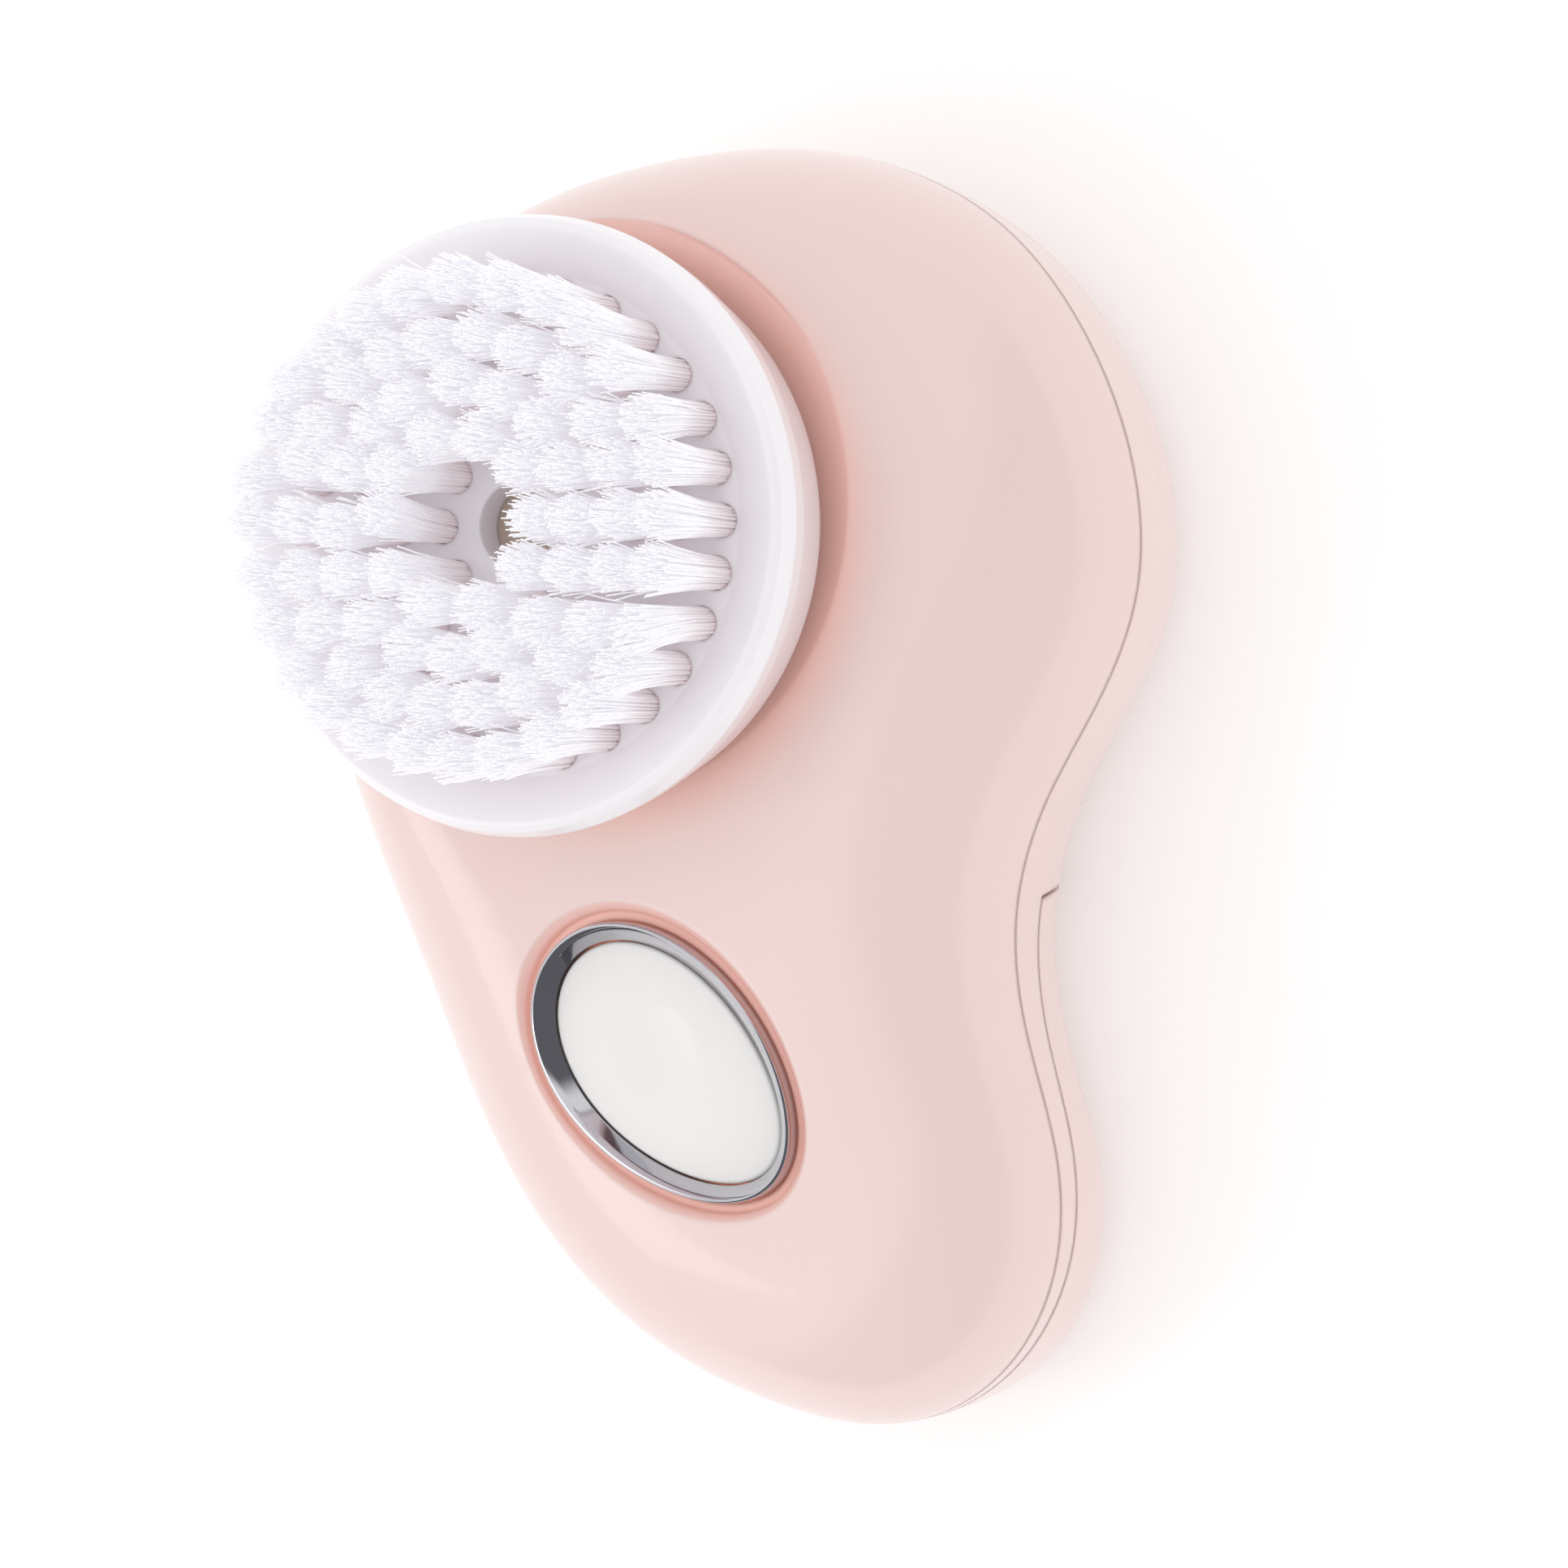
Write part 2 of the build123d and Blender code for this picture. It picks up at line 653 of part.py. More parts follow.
def board_screws():
    """Four pan-head screws through the board."""
    screws = []
    low = board_top_z - board_thickness
    for x in (-board_hole_x, board_hole_x):
        for y in (-board_hole_y, board_hole_y):
            head = post(x, y, low - small_head_height, low, small_head_r)
            head -= post(x, y, low - small_head_height - past, low - small_slot_depth, small_slot_r)
            shank = post(x, y, low, board_top_z + small_screw_bite, small_pilot_r - glue_gap)
            screws.append(button_frame * (head + shank))
    return Compound(children=screws)


def board_block(x, y, low, high, length, width):
    """A box on the board, centred at x and y, between two heights above it."""
    half_length, half_width = length / 2, width / 2
    return block(x - half_length, y - half_width, board_top_z + low,
                 x + half_length, y + half_width, board_top_z + high)


def motor_driver():
    """Driver chip with eight legs."""
    x, y = chip_spot
    chip = board_block(x, y, chip_low, chip_high, chip_length, chip_width)
    for index in range(leg_count):
        leg_x = x + (index - (leg_count - 1) / 2) * leg_pitch
        chip += board_block(leg_x, y, 0, leg_height, leg_width, leg_span)
    return button_frame * chip


def board_chips():
    """Small resistors and capacitors of the board."""
    chips = []
    for x, y in passive_spots:
        chips.append(button_frame * board_block(x, y, 0, passive_height, passive_length, passive_width))
    return Compound(children=chips)


def status_light():
    """Small lamp behind the button's skin."""
    x, y = lamp_spot
    lamp = board_block(x, y, 0, lamp_height, lamp_size, lamp_size)
    lamp += Pos(x, y, board_top_z + lamp_height) * Sphere(lamp_height)
    return button_frame * lamp


# ------------------------------------------------------------------ battery bay
def cell(side, flip):
    """One cell lying in the bay, its nub towards the handle's end where flip is 1."""
    x = side * cell_pitch / 2
    can = Rot(90, 0, 0) * Cylinder(cell_r, cell_length - nub_length)
    can = fillet(can.edges(), cell_edge_r)
    nub = Rot(90, 0, 0) * Cylinder(nub_r, nub_length)
    can = Pos(x, flip * nub_length / 2, cell_z) * can
    nub = Pos(x, -flip * (cell_length - nub_length) / 2, cell_z) * nub
    return bay_frame * (can + nub)


def contact_spring(side, end):
    """Wire spring that presses on the flat end of a cell."""
    start = cell_length / 2
    height = bay_end_room - contact_thickness - 2 * spring_wire_r
    helix = Helix(pitch=height / spring_turns, height=height, radius=spring_r)
    section = Plane(origin=helix @ 0, z_dir=helix % 0) * Circle(spring_wire_r)
    coil = sweep(section, path=helix)
    coil = Rot(90 if end < 0 else -90, 0, 0) * coil
    return bay_frame * (Pos(side * cell_pitch / 2, end * (start + spring_wire_r), cell_z) * coil)


def contact_springs():
    """The two springs, one at each end of the bay."""
    return Compound(children=[contact_spring(1, 1), contact_spring(-1, -1)])


def contact_leaf(side, end):
    """One flat contact on an end wall of the bay."""
    x = side * cell_pitch / 2
    outer = end * bay_half_length
    inner = end * (bay_half_length - contact_thickness)
    half = contact_width / 2
    low_y, high_y = sorted((outer, inner))
    return bay_frame * block(x - half, low_y, cell_z - half, x + half, high_y, cell_z + half)


def contact_plates():
    """The two contacts at the bay's upper end."""
    return Compound(children=[contact_leaf(1, 1), contact_leaf(-1, 1)])


def bridge_contact():
    """One strap that joins both cells at the handle's end."""
    half = contact_width / 2
    side = cell_pitch / 2 + half
    outer = -bay_half_length
    return bay_frame * block(-side, outer, cell_z - half, side, outer + contact_thickness, cell_z + half)


# ------------------------------------------------------------------ gears
def involute(angle):
    """Involute function of a pressure angle in radians."""
    return tan(angle) - angle


def half_tooth_angle(teeth, radius):
    """Half the angle that a tooth covers at a radius."""
    pitch_r = gear_module * teeth / 2
    base_r = pitch_r * cos(radians(pressure_angle))
    here = acos(min(1.0, base_r / max(radius, base_r)))
    half = pi / (2 * teeth) + involute(radians(pressure_angle)) - involute(here)
    return half - backlash / (4 * pitch_r)


def gear(teeth, low, width, bore, phase):
    """A spur gear about the origin, one tooth centred at phase degrees."""
    pitch_r = gear_module * teeth / 2
    root_r = pitch_r - dedendum_factor * gear_module
    tip_r = pitch_r + addendum_factor * gear_module
    radii = (root_r, max(root_r, pitch_r * cos(radians(pressure_angle))) + 0.02, pitch_r, tip_r)
    points = []
    for index in range(teeth):
        middle = radians(phase) + 2 * pi * index / teeth
        flank = [(radius, half_tooth_angle(teeth, radius)) for radius in radii]
        for radius, half in flank:
            points.append((radius * cos(middle - half), radius * sin(middle - half)))
        for radius, half in reversed(flank):
            points.append((radius * cos(middle + half), radius * sin(middle + half)))
    outline = make_face(Polyline(*points, close=True)) - Circle(bore)
    return extrude(Pos(0, 0, low) * outline, width)


def bearing(from_x, from_y, to_x, to_y):
    """Direction in degrees from one point to another."""
    return degrees(atan2(to_y - from_y, to_x - from_x))


def output_gear():
    """Large gear on the spindle: a tooth gap faces the idler."""
    toward = bearing(0, 0, idler_x, idler_y)
    hub = sleeve(0, 0, wheel_z, output_z + output_width, output_hub_r, spindle_r + glue_gap)
    ring = gear(output_teeth, output_z, output_width, spindle_r + glue_gap, toward + 180 / output_teeth)
    for index in range(web_hole_count):
        turn = 2 * pi * (index + 0.5) / web_hole_count
        x, y = web_hole_ring_r * cos(turn), web_hole_ring_r * sin(turn)
        ring -= post(x, y, output_z - past, output_z + output_width + past, web_hole_r)
    return ring + hub


def idler_gear():
    """Double gear: a wheel driven by the motor and a pinion that drives the output gear."""
    to_spindle = bearing(idler_x, idler_y, 0, 0)
    to_motor = bearing(idler_x, idler_y, motor_x, motor_y)
    bore = axle_r + axle_clearance
    wheel = gear(wheel_teeth, wheel_z, wheel_width, bore, to_motor)
    pinion = gear(pinion_teeth, wheel_z + wheel_width, level_gap + output_width, bore, to_spindle)
    return Pos(idler_x, idler_y) * (wheel + pinion)


def motor_pinion():
    """Small gear on the motor's shaft: a tooth gap faces the idler."""
    toward = bearing(motor_x, motor_y, idler_x, idler_y)
    phase = toward + 180 / motor_teeth
    return Pos(motor_x, motor_y) * gear(motor_teeth, wheel_z, wheel_width, motor_shaft_r + glue_gap, phase)


def idler_axle():
    """Fixed pin that the idler turns on."""
    return post(idler_x, idler_y, gearbase_z + axle_seat, lid_top_z - axle_seat, axle_r)


def gearbox_base():
    """Plate that carries the motor, the lower bush and the posts of the gearbox."""
    spots = [(0, 0, base_spindle_r), (idler_x, idler_y, base_idler_r), (motor_x, motor_y, base_motor_r)]
    spots += [(x, y, gearbox_post_r + base_margin) for x, y in gearbox_posts]
    top = gearbase_z + gearbase_thickness
    base = plate(spots, gearbase_z, top)
    base += post(0, 0, spindle_bottom_z - bush_floor, gearbase_z, base_bush_r + gearbase_thickness)
    base -= post(0, 0, spindle_bottom_z - spindle_end_gap, top + past, base_bush_r)
    base -= post(idler_x, idler_y, gearbase_z + axle_seat, top + past, axle_r)
    base -= post(motor_x, motor_y, gearbase_z - past, top + past, collar_motor_r + screw_gap)
    for side in (-1, 1):
        x, y = motor_screw_spot(side)
        base -= post(x, y, gearbase_z - past, top + past, motor_screw_r + screw_gap)
        base -= motor_screw_cone(x, y, motor_screw_r + screw_gap)
    for x, y in gearbox_posts:
        base += post(x, y, top, lid_z, gearbox_post_r)
        base -= post(x, y, gearbase_z - past, lid_z + past, gearbox_screw_r + screw_gap)
    return base


def motor_screw_cone(x, y, radius):
    """The countersink of a motor screw, flush with the gearbox base, from its radius upwards."""
    middle = gearbase_z + gearbase_thickness - motor_screw_flare / 2
    return Pos(x, y, middle) * Cone(radius, radius + motor_screw_flare, motor_screw_flare)


def gearbox_lid():
    """Plate over the gears."""
    spots = [(0, 0, lid_spindle_r), (idler_x, idler_y, lid_idler_r)]
    spots += [(x, y, gearbox_post_r) for x, y in gearbox_posts]
    lid = plate(spots, lid_z, lid_top_z)
    lid -= post(0, 0, lid_z - past, lid_top_z + past, bush_r + screw_gap)
    lid -= post(idler_x, idler_y, lid_z - past, lid_top_z - axle_seat, axle_r)
    for x, y in gearbox_posts:
        lid -= post(x, y, lid_z - past, lid_top_z + past, gearbox_screw_r + screw_gap)
    return lid


def gearbox_screws():
    """Screws from below through the gearbox into the front shell."""
    screws = []
    for x, y in gearbox_posts:
        head = driven_head(x, y, gearbase_z - gearbox_head_height, gearbase_z, gearbox_head_r)
        screws.append(head + post(x, y, gearbase_z, gearbox_screw_top_z, gearbox_screw_r))
    return Compound(children=screws)


def driven_head(x, y, low, high, radius):
    """Screw head facing down with a cross recess."""
    head = post(x, y, low, high, radius)
    arm = radius * cross_reach
    half = cross_width / 2
    floor = low + (high - low) * cross_reach
    head -= block(x - arm, y - half, low - past, x + arm, y + half, floor)
    head -= block(x - half, y - arm, low - past, x + half, y + arm, floor)
    return head


def housing_screws():
    """Screws from the back that hold the two shells together."""
    screws = []
    for x, y in screw_spots:
        low = screw_recess
        head = driven_head(x, y, low, low + screw_head_height, screw_head_r)
        screws.append(head + post(x, y, low + screw_head_height, screw_top_z, screw_shank_r))
    return Compound(children=screws)


def screw_plugs():
    """Soft plugs that close the screw holes and end level with the flat back."""
    top = screw_recess - plug_gap
    return Compound(children=[post(x, y, 0, top, recess_r - plug_gap) for x, y in screw_spots])


# ------------------------------------------------------------------ motor
def motor_screw_spot(side):
    """Centre of one of the two screws that hold the motor."""
    turn = radians(motor_screw_turn)
    return motor_x + side * motor_screw_reach * cos(turn), motor_y + side * motor_screw_reach * sin(turn)


def motor_can():
    """Drawn steel can, open below, with a bearing collar on top."""
    can = post(motor_x, motor_y, motor_low_z + end_cap_height / 2, gearbase_z, motor_r)
    can = fillet(can.edges().group_by(Axis.Z)[-1], can_edge_r)
    can -= post(motor_x, motor_y, motor_low_z, gearbase_z - can_wall, motor_r - can_wall)
    collar_top = gearbase_z + gearbase_thickness - screw_gap
    can += post(motor_x, motor_y, gearbase_z - can_wall, collar_top, collar_motor_r)
    can -= post(motor_x, motor_y, motor_low_z, collar_top + past, motor_shaft_r + axle_clearance)
    for side in (-1, 1):
        x, y = motor_screw_spot(side)
        can -= post(x, y, gearbase_z - can_wall - past, gearbase_z + past, motor_screw_r + screw_gap / 2)
    return can


def motor_end_cap():
    """Moulded cap that closes the can and carries the lower bearing and two terminals."""
    cap = post(motor_x, motor_y, motor_low_z, motor_low_z + end_cap_height / 2, motor_r)
    cap += post(motor_x, motor_y, motor_low_z, motor_low_z + end_cap_height, motor_r - can_wall)
    bore_floor = motor_low_z + motor_floor
    cap -= post(motor_x, motor_y, bore_floor, gearbase_z, motor_shaft_r + axle_clearance)
    for blade in terminal_blades(glue_gap):
        cap -= blade
    return cap


def terminal_blades(grow):
    """The motor's two tabs, under the ends of its wires, grown by grow."""
    start_x, start_y, start_z = motor_wire_route[0]
    top = start_z - wire_r - terminal_gap + grow
    low = top - terminal_thickness - 2 * grow
    half = terminal_width / 2 + grow
    far_y = motor_y - motor_r + terminal_length_in + grow
    near_y = start_y - terminal_length_out
    return [block(x - half, near_y, low, x + half, far_y, top) for x in (start_x, start_x + wire_pitch)]


def motor_terminals():
    """The two tabs that carry the current into the motor's end cap."""
    return Compound(children=terminal_blades(0))


def motor_magnets():
    """Two curved magnets inside the can."""
    low, high = motor_low_z + magnet_low, gearbase_z - can_wall - magnet_high_room
    outer = motor_r - can_wall - magnet_fit
    ring = sleeve(motor_x, motor_y, low, high, outer, outer - magnet_thickness)
    half = magnet_gap / 2
    far = motor_y + motor_r
    ring -= block(motor_x - half, motor_y - motor_r, low - past, motor_x + half, far, high + past)
    return ring


def motor_rotor():
    """Three-pole rotor with windings and commutator, on the shaft."""
    low, high = rotor_span()
    bore = motor_shaft_r + glue_gap
    half_pole, half_shoe = rotor_pole / 2, rotor_shoe / 2
    core = sleeve(0, 0, low, high, rotor_core_r, bore)
    rim = sleeve(0, 0, low, high, rotor_reach, rotor_shoe_r)
    for index in range(pole_count):
        turn = Rot(0, 0, 360 * index / pole_count)
        core += turn * block(bore + past, -half_pole, low, rotor_shoe_r + pole_root, half_pole, high)
        core += rim & (turn * block(rotor_core_r, -half_shoe, low, rotor_reach, half_shoe, high))
    core += sleeve(0, 0, motor_low_z + end_cap_height + shaft_end_gap, low, commutator_r, bore)
    return Pos(motor_x, motor_y) * core


def rotor_span():
    """Lower and upper end of the rotor's iron."""
    return motor_low_z + rotor_low, gearbase_z - can_wall - rotor_high_room


def motor_windings():
    """Coils round the three poles."""
    low, high = rotor_span()
    half = coil_width / 2
    half_pole = rotor_pole / 2 + coil_gap
    coil = block(coil_inner, -half, low - coil_proud, coil_outer, half, high + coil_proud)
    coil -= block(0, -half_pole, low - past, motor_r, half_pole, high + past)
    coils = []
    for index in range(pole_count):
        place = Pos(motor_x, motor_y) * Rot(0, 0, 360 * index / pole_count)
        coils.extend(place * side for side in coil.solids())
    return Compound(children=coils)


def motor_shaft():
    """Shaft of the motor."""
    low = motor_low_z + motor_floor + shaft_end_gap
    return post(motor_x, motor_y, low, wheel_z + wheel_width + shaft_end_gap, motor_shaft_r)


def motor_screws():
    """Two countersunk screws through the gearbox base."""
    screws = []
    head_low = gearbase_z + gearbase_thickness - motor_screw_flare
    for side in (-1, 1):
        x, y = motor_screw_spot(side)
        shank = post(x, y, gearbase_z - 2 * can_wall, head_low, motor_screw_r)
        screws.append(motor_screw_cone(x, y, motor_screw_r) + shank)
    return Compound(children=screws)


# ------------------------------------------------------------------ spindle
def flattened(radius, low, high, flat_at):
    """A cylinder about the spin axis with a flat towards +X."""
    return post(0, 0, low, high, radius) - block(flat_at, -reach, low - past, reach, reach, high + past)


def drive_spindle():
    """Spindle: round in its bushes, with a flat where the brush head pushes on."""
    shaft = post(0, 0, spindle_bottom_z, spindle_flat_z, spindle_r)
    shaft += flattened(spindle_r, spindle_flat_z, spindle_top_z, spindle_r - spindle_flat)
    return chamfer(shaft.edges().group_by(Axis.Z)[-1], spindle_chamfer)


def spindle_ring(low, high, outer, clearance):
    """A ring round the spindle with a clearance."""
    return sleeve(0, 0, low, high, outer, spindle_r + clearance)


def spindle_bush():
    """Upper bush in the front shell's boss."""
    return spindle_ring(lid_top_z, collar_top_z - seal_height, bush_r - glue_gap, bush_clearance)


def base_bush():
    """Lower bush in the gearbox base."""
    return spindle_ring(spindle_bottom_z, base_bush_top_z, base_bush_r - glue_gap, bush_clearance)


def thrust_washer():
    """Washer under the output gear."""
    return spindle_ring(base_bush_top_z + glue_gap, wheel_z - glue_gap, washer_r, glue_gap)


def shaft_seal():
    """Seal on top of the upper bush."""
    seal = spindle_ring(collar_top_z - seal_height, collar_top_z, bush_r - glue_gap, bush_clearance)
    groove_floor = collar_top_z - seal_groove_depth
    seal -= spindle_ring(groove_floor, collar_top_z + past, spindle_r + seal_groove_out, seal_groove_in)
    return seal


# ------------------------------------------------------------------ brush head
def brush_disc():
    """White carrier of the tufts: rim, floor, skirt, hub and ribs."""
    under = floor_z - floor_thickness
    hub_r = socket_r + socket_gap + hub_wall
    shelf = under - socket_shelf
    outline = [
        (hub_hole_r, floor_z), (floor_r, floor_z), (crest_r - crest_in, crest_z - crest_drop_in),
        (crest_r, crest_z), (crest_r + crest_out, crest_z - crest_drop_out), (rim_r, rim_z),
        (kink_r, kink_z), (skirt_r, skirt_z), (skirt_r - skirt_wall, skirt_z),
        (kink_r - skirt_wall, under), (hub_r, under), (hub_r, hub_bottom_z),
        (socket_r + glue_gap, hub_bottom_z), (socket_r + glue_gap, shelf), (hub_hole_r, shelf),
    ]
    disc = turned(outline)
    rounded = [edge for edge in disc.edges() if round(edge.center().Z, 2) in (crest_z, rim_z)]
    disc = fillet(rounded, disc_edge_r)
    half = rib_thickness / 2
    rib_end = kink_r - skirt_wall + (skirt_r - kink_r) * rib_depth / (kink_z - skirt_z) + rib_bite
    for index in range(rib_count):
        turn = Rot(0, 0, 360 * (index + 0.5) / rib_count)
        rib = block(hub_r - rib_bite, -half, under - rib_depth, rib_end, half, under + rib_bite)
        disc += turn * rib
    for _, ring_r, count in tuft_rings:
        for x, y in ring_spots(ring_r, count):
            disc -= post(x, y, floor_z - tuft_seat, floor_z + past, tuft_base_r + glue_gap)
    return disc


def ring_spots(radius, count):
    """Evenly spaced points of a circle about the spin axis."""
    turns = [2 * pi * index / count for index in range(count)]
    return [(radius * cos(turn), radius * sin(turn)) for turn in turns]


def hub_socket():
    """Insert in the hub that grips the spindle."""
    top = floor_z - floor_thickness - socket_shelf - socket_end_gap
    socket = post(0, 0, hub_bottom_z, top, socket_r)
    flat_at = spindle_r - spindle_flat + socket_gap
    bore_top = spindle_top_z + spindle_top_gap
    return socket - flattened(spindle_r + socket_gap, hub_bottom_z - past, bore_top, flat_at)


def tuft_ring(radius, count):
    """One ring of tufts, each a plug that widens towards its tip."""
    tufts = []
    for x, y in ring_spots(radius, count):
        root = post(x, y, floor_z - tuft_seat + tuft_floor_gap, floor_z, tuft_base_r)
        brush = Pos(x, y, (floor_z + tip_z) / 2) * Cone(tuft_base_r, tuft_tip_r, tip_z - floor_z)
        tufts.append(root + brush)
    return Compound(children=tufts)


# ------------------------------------------------------------------ wires
def wire(points, radius):
    """A round wire along straight runs joined by tangent arcs."""
    bends = []
    for before, here, after in zip(points, points[1:], points[2:]):
        first = Vector(*here) - Vector(*before)
        second = Vector(*after) - Vector(*here)
        turn = radians(first.get_angle(second))
        bends.append(bend_share * min(first.length, second.length) / tan(turn / 2))
    path = FilletPolyline(*points, radius=bends)
    section = Plane(origin=path @ 0, z_dir=path % 0) * Circle(radius)
    return sweep(section, path=path)


def motor_wires():
    """Two wires from the motor up to the board."""
    wires = []
    for shift in (0, wire_pitch):
        route = [(x + shift, y, z) for x, y, z in motor_wire_route]
        wires.append(wire(route, wire_r))
    return Compound(children=wires)


def battery_wires():
    """Two wires from the bay's upper contacts up to the board."""
    wires = []
    for (x, y), (board_x, board_y) in zip(wire_slots, board_wire_spots):
        start = (x, y, roof_z - wire_start_depth)
        over = (x, y, roof_z + roof_thickness + wire_arch)
        board = button_frame * Pos(board_x, board_y, board_top_z - board_thickness - wire_r)
        end = board.position
        near = (end.X + wire_near[0], end.Y + wire_near[1], over[2] + wire_near[2])
        wires.append(wire([start, over, near, (end.X, end.Y, end.Z - wire_joint_gap)], wire_r))
    return Compound(children=wires)


# ------------------------------------------------------------------ export
def cell_left():
    """Cell with its nub towards the bay's upper end."""
    return cell(-1, -1)


def cell_right():
    """Cell with its nub towards the handle's end."""
    return cell(1, 1)


plain_parts = [
    front_shell, rear_shell, seam_gasket, battery_cover, cover_gasket, housing_screws, screw_plugs,
    button_bezel, power_button, button_seal, seal_holder, switch_body, switch_plunger,
    circuit_board, board_screws, motor_driver, board_chips, status_light,
    cell_left, cell_right, contact_springs, contact_plates, bridge_contact,
    gearbox_base, gearbox_lid, gearbox_screws, output_gear, idler_gear, idler_axle,
    motor_can, motor_end_cap, motor_terminals, motor_magnets, motor_rotor, motor_windings,
    motor_shaft, motor_pinion, motor_screws,
    drive_spindle, spindle_bush, base_bush, thrust_washer, shaft_seal,
    brush_disc, hub_socket, motor_wires, battery_wires,
]

os.makedirs("parts", exist_ok=True)
for make in plain_parts:
    shape = make()
    print(make.__name__, len(shape.solids()), round(shape.volume, 1), shape.is_valid, flush=True)
    export_step(shape, f"parts/{make.__name__}.step")
for name, ring_r, count in tuft_rings:
    export_step(tuft_ring(ring_r, count), f"parts/tufts_{name}.step")
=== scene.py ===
"""Facial cleansing brush in a plain studio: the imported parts, dressed, with the finely made pieces added."""
import json
import logging
import math
import random
from dataclasses import dataclass, field
from enum import Enum

import bmesh
import bpy
from mathutils import Matrix, Vector


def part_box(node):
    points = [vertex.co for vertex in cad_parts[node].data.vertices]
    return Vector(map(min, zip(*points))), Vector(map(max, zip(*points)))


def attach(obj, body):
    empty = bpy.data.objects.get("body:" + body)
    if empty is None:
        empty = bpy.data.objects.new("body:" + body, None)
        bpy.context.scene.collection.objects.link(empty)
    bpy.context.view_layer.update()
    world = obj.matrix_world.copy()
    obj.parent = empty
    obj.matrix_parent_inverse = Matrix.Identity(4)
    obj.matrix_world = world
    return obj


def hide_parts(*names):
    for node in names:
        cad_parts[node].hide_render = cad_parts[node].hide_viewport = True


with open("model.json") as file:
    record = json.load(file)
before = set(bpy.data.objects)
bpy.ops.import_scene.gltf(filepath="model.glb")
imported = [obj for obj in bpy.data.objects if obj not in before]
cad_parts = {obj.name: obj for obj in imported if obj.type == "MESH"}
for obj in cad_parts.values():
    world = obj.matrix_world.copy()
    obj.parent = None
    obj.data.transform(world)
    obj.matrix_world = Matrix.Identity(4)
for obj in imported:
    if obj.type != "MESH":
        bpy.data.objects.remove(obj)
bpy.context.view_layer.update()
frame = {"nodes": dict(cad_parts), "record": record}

MM = 0.001
MERGE = 1e-6
CREASE = math.radians(30.0)
GOLDEN_ANGLE = math.pi * (3 - math.sqrt(5))
log = logging.getLogger("cleansing_brush")

Colour = tuple[float, float, float]
Place = tuple[float, float, float]


def paint(red: int, green: int, blue: int) -> Colour:
    """Turns an 8-bit display colour into the linear colour that shaders take.

    Args:
        red: Red from 0 to 255.
        green: Green from 0 to 255.
        blue: Blue from 0 to 255.

    Returns:
        The linear colour.
    """
    def channel(value: int) -> float:
        """Takes the display curve off one channel."""
        share = value / 255
        return share / 12.92 if share <= 0.04045 else ((share + 0.055) / 1.055) ** 2.4

    return channel(red), channel(green), channel(blue)


# ---------------------------------------------------------------- finishes
class Grain(Enum):
    """The fine relief of a surface: how its pattern is stretched along X, Y and Z."""

    MOULDED = (1.0, 1.0, 1.0)
    TURNED = (0.15, 0.15, 1.0)
    DRAWN = (1.0, 1.0, 0.08)
    STACKED = (0.02, 0.02, 1.0)


